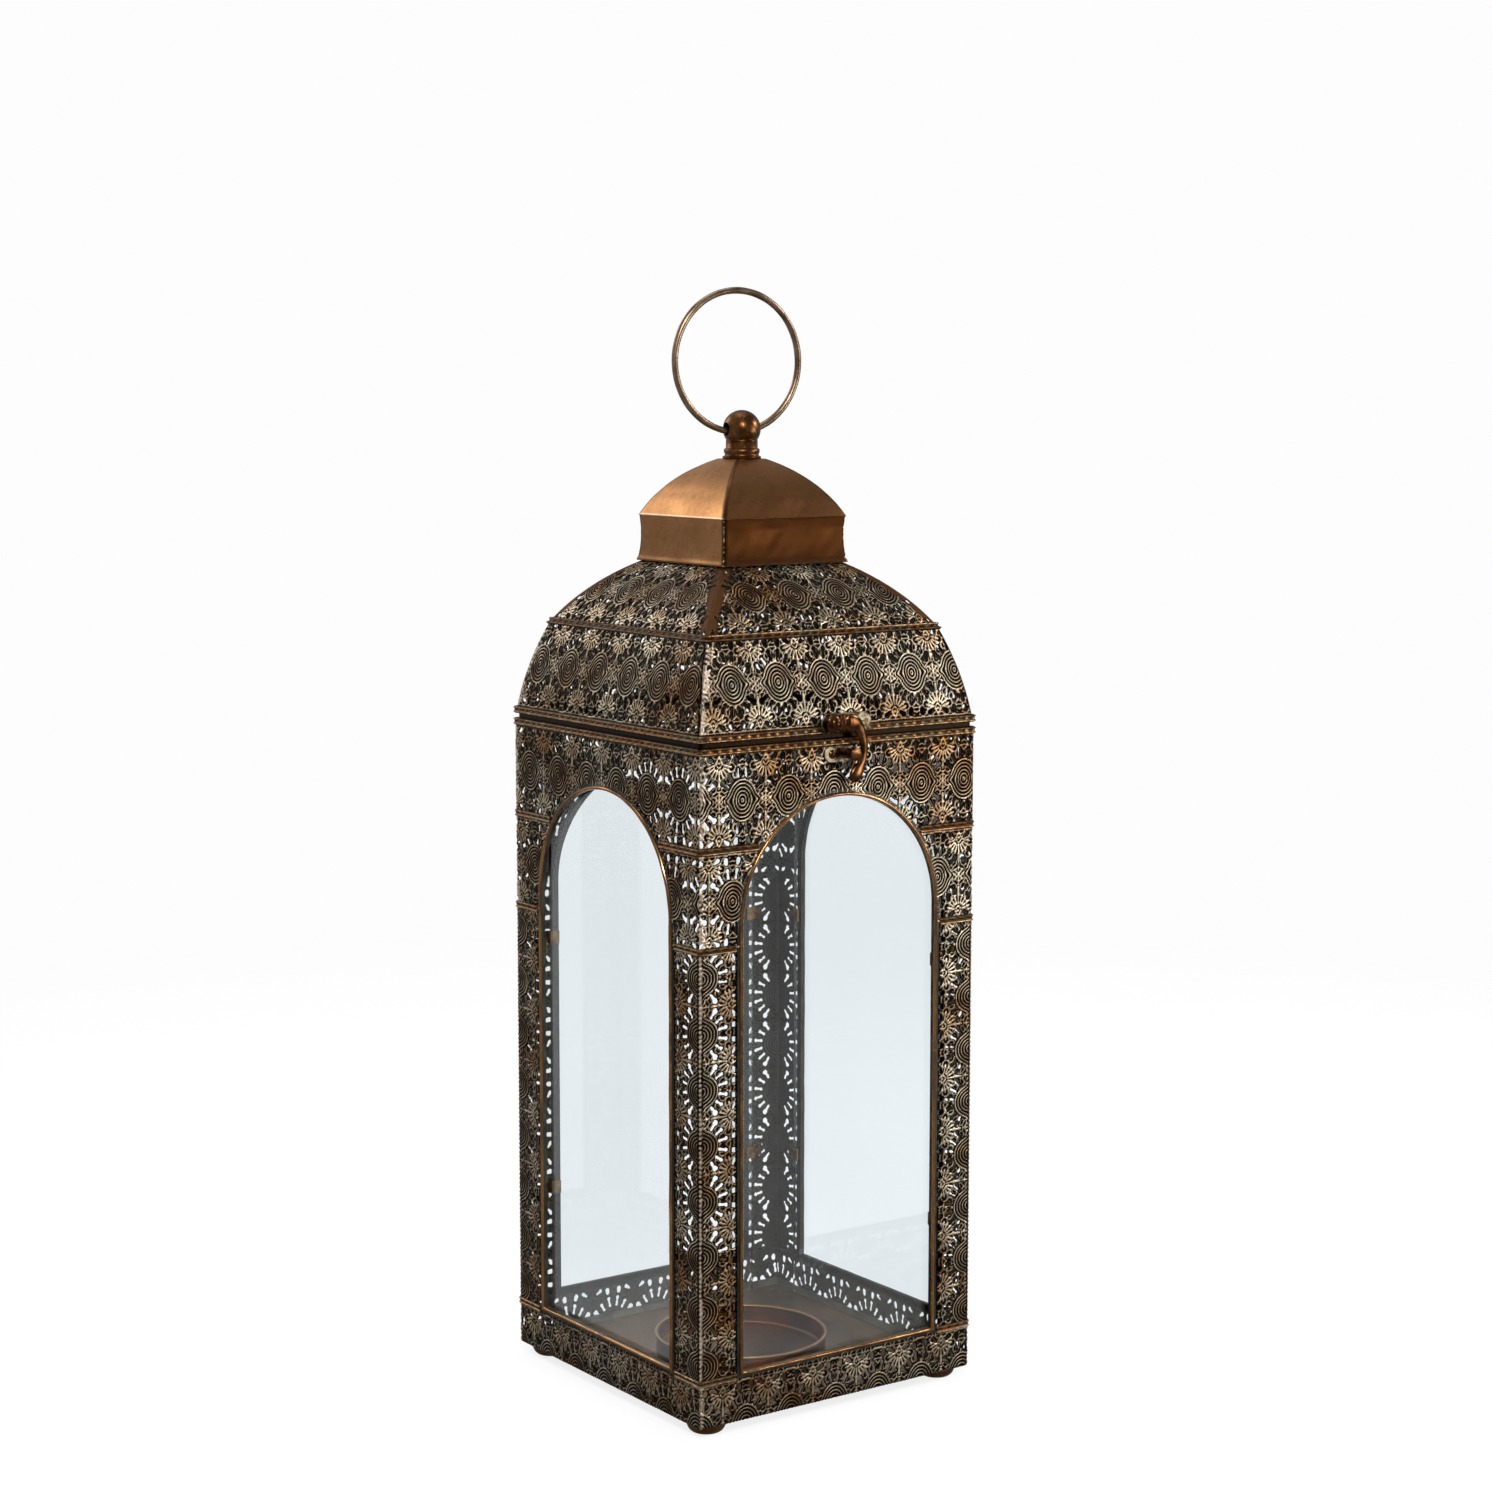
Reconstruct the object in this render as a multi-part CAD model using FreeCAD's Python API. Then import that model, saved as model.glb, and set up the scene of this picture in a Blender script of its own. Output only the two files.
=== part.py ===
"""Candle lantern: a square body of folded sheet ribbons with four arched, glazed windows, a candle tray
on its floor, and a domed lid that is hinged at the back and held by a hook at the front.

Frame: millimetres, +Z up, the front (latch) side towards -Y, the origin on the table under the centre.
Each piece is a solid of its own, written to parts/NODE.step.
"""
import FreeCAD, Part
import math
import os

from FreeCAD import Vector

# ---- overall sizes -------------------------------------------------------------------------------
SIDE = 150.0            # body width and depth over the ribbon walls
SHEET = 0.8             # ribbon and cap sheet
FOOT_HEIGHT = 5.0
BASE_HEIGHT = 21.6      # upright part of the ribbon that is folded under the base
POST_LENGTH = 188.4     # upright corner ribbons
SPANDREL_HEIGHT = 43.0  # ribbon pieces at the arch corners
UPPER_HEIGHT = 43.5     # ribbon over the arches
SEAM_GAP = 2.0          # dark recess between body and lid
LOWER_RISE = 39.5       # lower row of dome panels
UPPER_RISE = 28.4       # upper row of dome panels
COLLAR_HEIGHT = 21.0
CAP_RISE = 25.0

# ---- base, floor, tray and feet ------------------------------------------------------------------
BASE_FLANGE = 24.0
FLOOR_SHEET = 1.0
FLOOR_CLEARANCE = 0.1
TRAY_BORE = 37.95       # radius for a 75 mm pillar candle
TRAY_WALL = 0.8
TRAY_DEPTH = 9.0
TRAY_BEAD = 0.9
FOOT_RADIUS = 8.8
FOOT_FLAT = 4.2
FOOT_INSET = 10.5
RIVET_SHANK = 1.0
RIVET_HEAD = 2.0
RIVET_RISE = 1.0
HOLE_CLEARANCE = 0.05

# ---- windows -------------------------------------------------------------------------------------
WINDOW_HALF = 52.5      # clear half width, and the radius of the arch
SPRING_RISE = 9.0       # from the top of the posts to the centre of the arch
TRIM_WIDTH = 3.0
TRIM_LAP = 0.9          # how far the trim reaches past the cut edge of the sheet
TRIM_PROUD = 1.2
TRIM_BACK = 0.8
SLOT_CLEARANCE = 0.1    # between the cut edge of the sheet and the bottom of the trim's slot
GLASS = 2.0
GLASS_LAP = 4.5
TAB_SHEET = 0.6
TAB_HEIGHT = 6.0
TAB_FOOT = 6.0
TAB_LIP = 4.0
TAB_RISE = 48.0         # lower tabs above the base ribbon
TAB_DROP = 20.4         # upper tabs below the top of the posts

# ---- strips and rims -----------------------------------------------------------------------------
STRIP_PROUD = 1.0
STRIP_HEIGHT = 3.4
RIM_HEIGHT = 3.4
RIM_FLANGE = 3.5
SKIRT_SETBACK = 1.0

# ---- dome and cap --------------------------------------------------------------------------------
DOME_INSET = 0.5
LOWER_STEP = 11.2       # how far the dome has come in at its strip
LOWER_BULGE = 1.3
UPPER_BULGE = 2.6
LIP_HEIGHT = 3.8
LIP_CLEARANCE = 0.5
CAP_HALF = 34.3
CAP_WAIST = -0.8
CAP_TAPER = 0.6
CAP_BULGE = 3.1
CAP_TOP_HALF = 8.0

# ---- finial and ring -----------------------------------------------------------------------------
FINIAL_TURN = -6.5      # degrees about Z
FLANGE_RADIUS = 8.7
NECK_RADIUS = 7.2
NECK_HEIGHT = 8.2
BALL_RADIUS = 8.55
RING_PLAY = 1.5         # how much wider than the wire its hole is, in radius
RING_GAP = 0.3          # left between the wire and the top of its hole
STEM_RADIUS = 2.5
STEM_LENGTH = 10.0
NUT_FLATS = 8.0
NUT_HEIGHT = 4.0
RING_RADIUS = 31.5
WIRE_RADIUS = 1.5
RING_LEAN = 4.4         # degrees

# ---- hinges --------------------------------------------------------------------------------------
HINGE_SPREAD = 40.0
HINGE_HALF = 11.0
HINGE_SHEET = 0.8
KNUCKLE_RADIUS = 2.0
KNUCKLE_STANDOFF = 0.2
KNUCKLE_HALF = 3.6      # half length of the middle knuckle
KNUCKLE_SLIT = 0.2
PIN_RADIUS = 1.0
PIN_CLEARANCE = 0.05
LEAF_NOTCH = 2.3
LEAF_LENGTH = 5.6
LEAF_RIVET = 7.0

# ---- latch ---------------------------------------------------------------------------------------
PLATE_SHEET = 0.8
PIVOT_X = -6.7
PIVOT_RISE = 4.6        # pivot above the lid's lower edge
ARM_HALF = 4.0
HOOK_BACK = 0.3         # clearance between the hook and its plate
HOOK_THICK = 3.4
NECK_X = 9.7
NECK_HALF = 1.9
NECK_DROP = 14.0
TIP_X = 5.0
TIP_DROP = 23.0
TIP_RADIUS = 3.2
BOSS_X = 2.2
BOSS_RADIUS = 3.4
PIVOT_RADIUS = 1.4
NAIL_X = 12.2
PLATE_LEFT = -12.0
PLATE_RIGHT = 15.0
PLATE_HALF = 4.2
STUD_X = 3.4
STUD_MARGIN = 0.1       # between the catch plate and the strip on the body's rim
STUD_RADIUS = 2.3
STUD_HEAD = 2.9
STUD_LENGTH = 5.6
STUD_HEAD_THICK = 1.4
CATCH_LEFT = -9.6
CATCH_RIGHT = 7.6
CATCH_HALF = 3.6
CATCH_RIVET_X = -5.4

# ---- places that follow from the sizes -----------------------------------------------------------
HALF = SIDE / 2
INNER = HALF - SHEET
Z_BASE = FOOT_HEIGHT
Z_POST = Z_BASE + BASE_HEIGHT
Z_SPANDREL = Z_POST + POST_LENGTH
Z_UPPER = Z_SPANDREL + SPANDREL_HEIGHT
Z_FLANGE = Z_UPPER + UPPER_HEIGHT
Z_BODY_TOP = Z_FLANGE + SHEET
Z_LID = Z_BODY_TOP + SEAM_GAP
Z_DOME = Z_LID + RIM_HEIGHT
Z_MIDDLE = Z_DOME + LOWER_RISE
Z_COLLAR = Z_MIDDLE + UPPER_RISE
Z_CAP = Z_COLLAR + COLLAR_HEIGHT
Z_TOP = Z_CAP + CAP_RISE
Z_FLOOR = Z_BASE + SHEET + FLOOR_SHEET
Z_SPRING = Z_SPANDREL + SPRING_RISE
FACE = HALF + STRIP_PROUD
MIDDLE_HALF = HALF - DOME_INSET - LOWER_STEP
CAP_SHOULDER = CAP_HALF - CAP_TAPER
LIP_HALF = CAP_HALF - SHEET + CAP_WAIST - LIP_CLEARANCE / 2
BALL_Z = Z_TOP + NECK_HEIGHT + BALL_RADIUS * 0.59
HINGE_Y = FACE + KNUCKLE_STANDOFF + KNUCKLE_RADIUS
HINGE_Z = (Z_BODY_TOP + Z_LID) / 2
PIVOT_Z = Z_LID + PIVOT_RISE
STUD_Z = Z_BODY_TOP - RIM_HEIGHT - STUD_MARGIN - CATCH_HALF
RING_HOLE = WIRE_RADIUS + RING_PLAY
RING_DROP = RING_PLAY - RING_GAP
GLASS_OUT = INNER - TRIM_BACK
GLASS_IN = GLASS_OUT - GLASS
GLASS_HALF = WINDOW_HALF + GLASS_LAP
GLASS_TOP = Z_SPRING + WINDOW_HALF + GLASS_LAP + TRIM_WIDTH

SIDES = ("front", "right", "back", "left")
CORNERS = ("front_left", "front_right", "back_right", "back_left")
AXIS_Z = Vector(0, 0, 1)
AXIS_X = Vector(1, 0, 0)
AXIS_Y = Vector(0, 1, 0)


# ---- helpers -------------------------------------------------------------------------------------
def box(x0, x1, y0, y1, z0, z1):
    """A block between two corners."""
    return Part.makeBox(x1 - x0, y1 - y0, z1 - z0, Vector(x0, y0, z0))


def cylinder(radius, start, axis, length):
    """A round bar from a point along an axis."""
    return Part.makeCylinder(radius, length, start, axis)


def square_tube(outer, inner, z0, z1):
    """A square tube about the Z axis, by its half widths."""
    return box(-outer, outer, -outer, outer, z0, z1).cut(box(-inner, inner, -inner, inner, z0 - 1, z1 + 1))


def turned(shape, degrees):
    """A copy turned about the Z axis."""
    copy = shape.copy()
    copy.rotate(Vector(0, 0, 0), AXIS_Z, degrees)
    return copy


def four_ways(shape):
    """The front shape turned to the front, right, back and left."""
    return [turned(shape, 90 * k) for k in range(4)]


def fused(shapes):
    """One solid from touching or overlapping shapes."""
    first, rest = shapes[0], shapes[1:]
    if not rest:
        return first
    whole = first.fuse(rest).removeSplitter()
    return whole.Solids[0] if len(whole.Solids) == 1 else whole


def cut_all(shape, tools):
    """A shape less each of the tools."""
    return shape.cut(tools) if tools else shape


def arch_prism(half, bottom, y0, y1):
    """A round-headed window shape, drawn in the XZ plane and drawn out along Y."""
    low_left, low_right = Vector(-half, y0, bottom), Vector(half, y0, bottom)
    left, right = Vector(-half, y0, Z_SPRING), Vector(half, y0, Z_SPRING)
    top = Vector(0, y0, Z_SPRING + half)
    edges = [
        Part.LineSegment(low_left, low_right).toShape(),
        Part.LineSegment(low_right, right).toShape(),
        Part.Arc(right, top, left).toShape(),
        Part.LineSegment(left, low_left).toShape(),
    ]
    return Part.Face(Part.Wire(edges)).extrude(Vector(0, y1 - y0, 0))


def circle_through(start, end, bulge):
    """Centre and signed radius of the arc from start to end in the (h, z) plane.

    bulge is the arc's height over its chord, positive away from the axis.
    """
    chord_h, chord_z = end[0] - start[0], end[1] - start[1]
    chord = math.hypot(chord_h, chord_z)
    radius = chord * chord / (8 * bulge) + bulge / 2
    middle = ((start[0] + end[0]) / 2, (start[1] + end[1]) / 2)
    out = (chord_z / chord, -chord_h / chord)
    return (middle[0] - out[0] * (radius - bulge), middle[1] - out[1] * (radius - bulge)), radius


def curved_band(start, end, bulge, thickness, spare):
    """A face in the YZ plane: the arc from start to end with its sheet on the inner side.

    Its ends run on by spare, so that a level cut leaves them flat.
    """
    centre, radius = circle_through(start, end, bulge)
    sign = 1 if radius > 0 else -1
    size = abs(radius)

    def angle(point):
        return math.atan2((point[1] - centre[1]) * sign, (point[0] - centre[0]) * sign)

    extra = spare / size * sign
    first, last = angle(start) - extra, angle(end) + extra
    inner = size - sign * thickness

    def at(turn, distance):
        h = centre[0] + sign * distance * math.cos(turn)
        return Vector(0, -h, centre[1] + sign * distance * math.sin(turn))

    middle = (first + last) / 2
    edges = [
        Part.Arc(at(first, size), at(middle, size), at(last, size)).toShape(),
        Part.LineSegment(at(last, size), at(last, inner)).toShape(),
        Part.Arc(at(last, inner), at(middle, inner), at(first, inner)).toShape(),
        Part.LineSegment(at(first, inner), at(first, size)).toShape(),
    ]
    return Part.Face(Part.Wire(edges))


def polygon_yz(points):
    """A face in the YZ plane from (h, z) points on the front side."""
    corners = [Vector(0, -h, z) for h, z in points]
    return Part.Face(Part.makePolygon(corners + corners[:1]))


def mitred(face, z0, z1):
    """The front quarter of a four-sided form: a profile drawn along X between its two mitre planes."""
    reach = SIDE
    bar = face.extrude(Vector(2 * reach, 0, 0))
    bar.translate(Vector(-reach, 0, 0))
    wedge_points = [Vector(0, 0, z0), Vector(-reach, -reach, z0), Vector(reach, -reach, z0)]
    wedge = Part.Face(Part.makePolygon(wedge_points + wedge_points[:1])).extrude(Vector(0, 0, z1 - z0))
    return bar.common(wedge)


def dome_head(radius, rise, centre, axis):
    """A rivet head: a slice of a ball that stands on a flat face, its rim at the centre's level."""
    ball_radius = (radius * radius + rise * rise) / (2 * rise)
    middle = centre - axis * (ball_radius - rise)
    ball = Part.makeSphere(ball_radius, middle)
    slab = cylinder(2 * radius, centre, axis, 2 * rise)
    return ball.common(slab)


def rivet(centre, axis, depth):
    """A round-headed rivet: the head stands on centre, the shank goes depth the other way."""
    shank = cylinder(RIVET_SHANK, centre - axis * depth, axis, depth + RIVET_RISE / 4)
    return fused([shank, dome_head(RIVET_HEAD, RIVET_RISE, centre, axis)])


def through_hole(centre, axis, depth, radius):
    """The drill for a fastener: a bar that runs a little past both ends."""
    return cylinder(radius + HOLE_CLEARANCE, centre - axis * (depth + 1), axis, depth + 2)


def rounded_plate(x0, x1, z, half, y0, y1):
    """A plate with two round ends, lying in the XZ plane."""
    bar = box(x0 + half, x1 - half, y0, y1, z - half, z + half)
    ends = [cylinder(half, Vector(x, y0, z), AXIS_Y, y1 - y0) for x in (x0 + half, x1 - half)]
    return fused([bar] + ends)


# ---- places of the fasteners ---------------------------------------------------------------------
def foot_places():
    """The middle of each foot, in the order of CORNERS."""
    at = HALF - FOOT_INSET
    return [Vector(-at, -at, 0), Vector(at, -at, 0), Vector(at, at, 0), Vector(-at, at, 0)]


def hinge_rivet_places(z):
    """The rivets of both hinges at one level, on the outer faces of their leaves."""
    face = FACE + HINGE_SHEET
    xs = [side * HINGE_SPREAD + step * LEAF_RIVET for side in (-1, 1) for step in (-1, 1)]
    return [Vector(x, face, z) for x in xs]


def hinge_drills(z, depth):
    """The drills for the hinge rivets at one level."""
    return [through_hole(p, AXIS_Y, depth, RIVET_SHANK) for p in hinge_rivet_places(z)]


Z_LOWER_RIVETS = HINGE_Z - LEAF_NOTCH - LEAF_LENGTH / 2
Z_UPPER_RIVETS = HINGE_Z + LEAF_NOTCH + LEAF_LENGTH / 2
LOWER_RIVET_DEPTH = HINGE_SHEET + STRIP_PROUD + SHEET + 0.6
UPPER_RIVET_DEPTH = HINGE_SHEET + STRIP_PROUD + DOME_INSET + SHEET + 1.2
CATCH_FACE = -(HALF + PLATE_SHEET)
LATCH_FACE = -(FACE + PLATE_SHEET)
FRONT = Vector(0, -1, 0)
CATCH_RIVET = Vector(CATCH_RIVET_X, CATCH_FACE, STUD_Z)
CATCH_STUD = Vector(STUD_X, CATCH_FACE, STUD_Z)
LATCH_PIVOT = Vector(PIVOT_X, LATCH_FACE, PIVOT_Z)
LATCH_NAIL = Vector(NAIL_X, LATCH_FACE, PIVOT_Z)
CATCH_DEPTH = PLATE_SHEET + SHEET + 0.6
LATCH_DEPTH = -LATCH_FACE - (HALF - DOME_INSET - SHEET) + 1.4


# ---- body ----------------------------------------------------------------------------------------
def windows(half, bottom, grow):
    """The drills of the four windows through the walls."""
    return four_ways(arch_prism(half, bottom, -HALF - grow, -INNER + grow))


def make_walls():
    """Base ribbon, corner posts, spandrels and the ribbon over the arches."""
    opening = WINDOW_HALF + TRIM_LAP
    drills = windows(opening, Z_POST - 1, 3)
    body_holes = hinge_drills(Z_LOWER_RIVETS, LOWER_RIVET_DEPTH)
    body_holes += [through_hole(p, FRONT, CATCH_DEPTH, RIVET_SHANK) for p in (CATCH_RIVET, CATCH_STUD)]
    foot_holes = [through_hole(p + Vector(0, 0, Z_FLOOR), AXIS_Z, 4, RIVET_SHANK) for p in foot_places()]

    ring = square_tube(HALF, INNER, Z_BASE, Z_POST)
    under = square_tube(HALF, HALF - BASE_FLANGE, Z_BASE, Z_BASE + SHEET)
    nodes = {"base_band": cut_all(fused([ring, under]), foot_holes)}

    posts = square_tube(HALF, INNER, Z_POST, Z_SPANDREL).cut(drills)
    spandrels = square_tube(HALF, INNER, Z_SPANDREL, Z_UPPER).cut(drills)
    nodes.update(by_corner("post", posts))
    nodes.update(by_corner("spandrel", spandrels))
    upper = square_tube(HALF, INNER, Z_UPPER, Z_FLANGE).cut(drills + body_holes)
    nodes["upper_band"] = upper
    return nodes


def by_corner(name, shape):
    """The solids of a wall that the windows have cut apart, each named for its corner."""
    found = {}
    for solid in shape.Solids:
        middle = solid.BoundBox.Center
        front = "front" if middle.y < 0 else "back"
        found[f"{name}_{front}_{'left' if middle.x < 0 else 'right'}"] = solid
    return found


def make_strips():
    """The corner strips that cover the joins between ribbons."""
    drills = windows(WINDOW_HALF + TRIM_WIDTH + 0.1, Z_BASE - 1, 3)
    levels = {"base_strips": Z_POST - 1.2, "post_strips": Z_SPANDREL, "spandrel_strips": Z_UPPER}
    nodes = {}
    for name, z in levels.items():
        tube = square_tube(FACE, HALF, z - STRIP_HEIGHT / 2, z + STRIP_HEIGHT / 2)
        nodes[name] = Part.makeCompound(tube.cut(drills).Solids)
    return nodes


def make_body_rim():
    """The angle strip round the top of the body: an outer leg and a level flange that the lid rests on."""
    leg = square_tube(FACE, HALF, Z_BODY_TOP - RIM_HEIGHT, Z_BODY_TOP)
    flange = square_tube(FACE, HALF - RIM_FLANGE, Z_FLANGE, Z_BODY_TOP)
    return {"body_rim": fused([leg, flange]).cut(hinge_drills(Z_LOWER_RIVETS, LOWER_RIVET_DEPTH))}


def make_floor():
    """Floor plate, candle tray, feet and their rivets."""
    half = INNER - FLOOR_CLEARANCE
    plate = box(-half, half, -half, half, Z_BASE + SHEET, Z_FLOOR)
    holes = [through_hole(p + Vector(0, 0, Z_FLOOR), AXIS_Z, 4, RIVET_SHANK) for p in foot_places()]
    nodes = {"floor_plate": plate.cut(holes)}

    outer = TRAY_BORE + TRAY_WALL
    top = Z_FLOOR + TRAY_WALL + TRAY_DEPTH
    centre = Vector(0, 0, Z_FLOOR)
    dish = cylinder(outer, centre, AXIS_Z, top - Z_FLOOR)
    bead = Part.makeTorus(outer + TRAY_BEAD / 6, TRAY_BEAD, Vector(0, 0, top - TRAY_BEAD), AXIS_Z)
    hollow = cylinder(TRAY_BORE, Vector(0, 0, Z_FLOOR + TRAY_WALL), AXIS_Z, TRAY_DEPTH + 2)
    nodes["candle_tray"] = fused([dish, bead]).cut(hollow)

    rivets = []
    for name, place in zip(CORNERS, foot_places()):
        nodes[f"foot_{name}"] = make_foot(place)
        rivets.append(rivet(place + Vector(0, 0, Z_FLOOR), AXIS_Z, Z_FLOOR - Z_BASE + 3))
    nodes["foot_rivets"] = Part.makeCompound(rivets)
    return nodes


def make_foot(place):
    """A low round foot: a flat to stand on, then an arc out to its full width under the base."""
    arc = Part.Arc(
        Vector(FOOT_FLAT, 0, 0),
        Vector(FOOT_RADIUS * 0.86, 0, FOOT_HEIGHT * 0.42),
        Vector(FOOT_RADIUS, 0, FOOT_HEIGHT),
    ).toShape()
    lines = Part.makePolygon([
        Vector(FOOT_RADIUS, 0, FOOT_HEIGHT),
        Vector(0, 0, FOOT_HEIGHT),
        Vector(0, 0, 0),
        Vector(FOOT_FLAT, 0, 0),
    ])
    foot = Part.Face(Part.Wire([arc] + lines.Edges)).revolve(Vector(0, 0, 0), AXIS_Z, 360)
    foot = Part.Solid(foot) if foot.ShapeType != "Solid" else foot
    foot.translate(place)
    hole = through_hole(place + Vector(0, 0, Z_FLOOR), AXIS_Z, Z_FLOOR - Z_BASE + 2, RIVET_SHANK)
    return foot.cut(hole)


def make_windows():
    """The four trims, glass panes and the bent tabs that hold the glass."""
    bottom = Z_POST + TRIM_LAP
    proud = -HALF - TRIM_PROUD
    frame = arch_prism(WINDOW_HALF + TRIM_WIDTH, bottom - TRIM_WIDTH, proud, -GLASS_OUT)
    frame = frame.cut(arch_prism(WINDOW_HALF, bottom, proud - 1, -GLASS_OUT + 1))
    slot = arch_prism(WINDOW_HALF + TRIM_WIDTH + 1, bottom - TRIM_WIDTH - 1, -HALF, -INNER)
    slot = slot.cut(arch_prism(WINDOW_HALF + TRIM_LAP - SLOT_CLEARANCE, Z_POST, -HALF - 1, -INNER + 1))
    trim = frame.cut(slot)
    pane = box(-GLASS_HALF, GLASS_HALF, -GLASS_OUT, -GLASS_IN, Z_FLOOR, GLASS_TOP)
    nodes = {}
    for name, a_trim, a_pane in zip(SIDES, four_ways(trim), four_ways(pane)):
        nodes[f"window_trim_{name}"] = a_trim
        nodes[f"glass_pane_{name}"] = a_pane
    tabs = [glass_tab(side, z) for side in (-1, 1) for z in (Z_POST + TAB_RISE, Z_SPANDREL - TAB_DROP)]
    nodes["glass_tabs"] = Part.makeCompound([copy for tab in tabs for copy in four_ways(tab)])
    return nodes


def glass_tab(side, z):
    """A Z-shaped tab: a foot on the post, a riser beside the glass and a lip behind it."""
    edge = GLASS_HALF + 0.3
    points = [
        (edge + TAB_SHEET + TAB_FOOT, -INNER),
        (edge, -INNER),
        (edge, -GLASS_IN),
        (edge - TAB_LIP, -GLASS_IN),
        (edge - TAB_LIP, -GLASS_IN + TAB_SHEET),
        (edge + TAB_SHEET, -GLASS_IN + TAB_SHEET),
        (edge + TAB_SHEET, -INNER + TAB_SHEET),
        (edge + TAB_SHEET + TAB_FOOT, -INNER + TAB_SHEET),
    ]
    corners = [Vector(side * x, y, z) for x, y in points]
    return Part.Face(Part.makePolygon(corners + corners[:1])).extrude(Vector(0, 0, TAB_HEIGHT))


def make_catch():
    """The plate, rivet and stud on the body that the hook catches under."""
    plate = rounded_plate(CATCH_LEFT, CATCH_RIGHT, STUD_Z, CATCH_HALF, CATCH_FACE, -HALF)
    drills = [through_hole(p, FRONT, CATCH_DEPTH, RIVET_SHANK) for p in (CATCH_RIVET, CATCH_STUD)]
    post = cylinder(STUD_RADIUS, CATCH_STUD, FRONT, STUD_LENGTH)
    head = cylinder(STUD_HEAD, CATCH_STUD + FRONT * (STUD_LENGTH - STUD_HEAD_THICK), FRONT, STUD_HEAD_THICK)
    shank = cylinder(RIVET_SHANK, CATCH_STUD - FRONT * CATCH_DEPTH, FRONT, CATCH_DEPTH + 1)
    return {
        "catch_plate": plate.cut(drills),
        "catch_rivet": rivet(CATCH_RIVET, FRONT, CATCH_DEPTH),
        "catch_stud": fused([post, head, shank]),
    }


# ---- hinges --------------------------------------------------------------------------------------
def knuckle(x0, x1):
    """A rolled knuckle of a hinge leaf, without its bore."""
    return cylinder(KNUCKLE_RADIUS, Vector(x0, HINGE_Y, HINGE_Z), AXIS_X, x1 - x0)


def hinge_leaf(middle, up):
    """A leaf of a butt hinge: the lower has the two outer knuckles, the upper the middle one."""
    if up:
        spans = [(-KNUCKLE_HALF, KNUCKLE_HALF)]
        z0, z1 = HINGE_Z + LEAF_NOTCH, HINGE_Z + LEAF_NOTCH + LEAF_LENGTH
        tab0, tab1 = HINGE_Z, z1
    else:
        spans = [(-HINGE_HALF, -KNUCKLE_HALF - KNUCKLE_SLIT), (KNUCKLE_HALF + KNUCKLE_SLIT, HINGE_HALF)]
        z0, z1 = HINGE_Z - LEAF_NOTCH - LEAF_LENGTH, HINGE_Z - LEAF_NOTCH
        tab0, tab1 = z0, HINGE_Z
    pieces = [box(middle - HINGE_HALF, middle + HINGE_HALF, FACE, FACE + HINGE_SHEET, z0, z1)]
    for x0, x1 in spans:
        pieces.append(box(middle + x0, middle + x1, FACE, FACE + HINGE_SHEET, tab0, tab1))
        pieces.append(knuckle(middle + x0, middle + x1))
    clearance = PIN_CLEARANCE if up else PIN_CLEARANCE * 0.6
    start = Vector(middle - HINGE_HALF - 1, HINGE_Y, HINGE_Z)
    bore = cylinder(PIN_RADIUS + clearance, start, AXIS_X, 2 * HINGE_HALF + 2)
    z = Z_UPPER_RIVETS if up else Z_LOWER_RIVETS
    return fused(pieces).cut([bore] + hinge_drills(z, HINGE_SHEET))


def make_hinges():
    """Two butt hinges at the back, with their pins and rivets."""
    nodes = {}
    pins = []
    for name, side in (("left", -1), ("right", 1)):
        middle = side * HINGE_SPREAD
        nodes[f"hinge_leaf_lower_{name}"] = hinge_leaf(middle, False)
        nodes[f"hinge_leaf_upper_{name}"] = hinge_leaf(middle, True)
        start = Vector(middle - HINGE_HALF - 0.5, HINGE_Y, HINGE_Z)
        pins.append(cylinder(PIN_RADIUS, start, AXIS_X, 2 * HINGE_HALF + 1))
    nodes["hinge_pins"] = Part.makeCompound(pins)
    lower = [rivet(p, AXIS_Y, LOWER_RIVET_DEPTH) for p in hinge_rivet_places(Z_LOWER_RIVETS)]
    upper = [rivet(p, AXIS_Y, UPPER_RIVET_DEPTH) for p in hinge_rivet_places(Z_UPPER_RIVETS)]
    nodes["hinge_rivets_lower"] = Part.makeCompound(lower)
    nodes["hinge_rivets_upper"] = Part.makeCompound(upper)
    return nodes


# ---- lid -----------------------------------------------------------------------------------------
def make_lid_rim():
    """The lid's edge: an outer strip, a level web, and a skirt set back that rests on the body's rim."""
    strip = square_tube(FACE, HALF, Z_LID, Z_DOME)
    skirt_out = HALF - SKIRT_SETBACK
    web = square_tube(FACE, skirt_out - SHEET, Z_DOME - SHEET, Z_DOME)
    skirt = square_tube(skirt_out, skirt_out - SHEET, Z_BODY_TOP, Z_DOME)
    return {"lid_rim": fused([strip, web, skirt]).cut(hinge_drills(Z_UPPER_RIVETS, UPPER_RIVET_DEPTH))}


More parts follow.
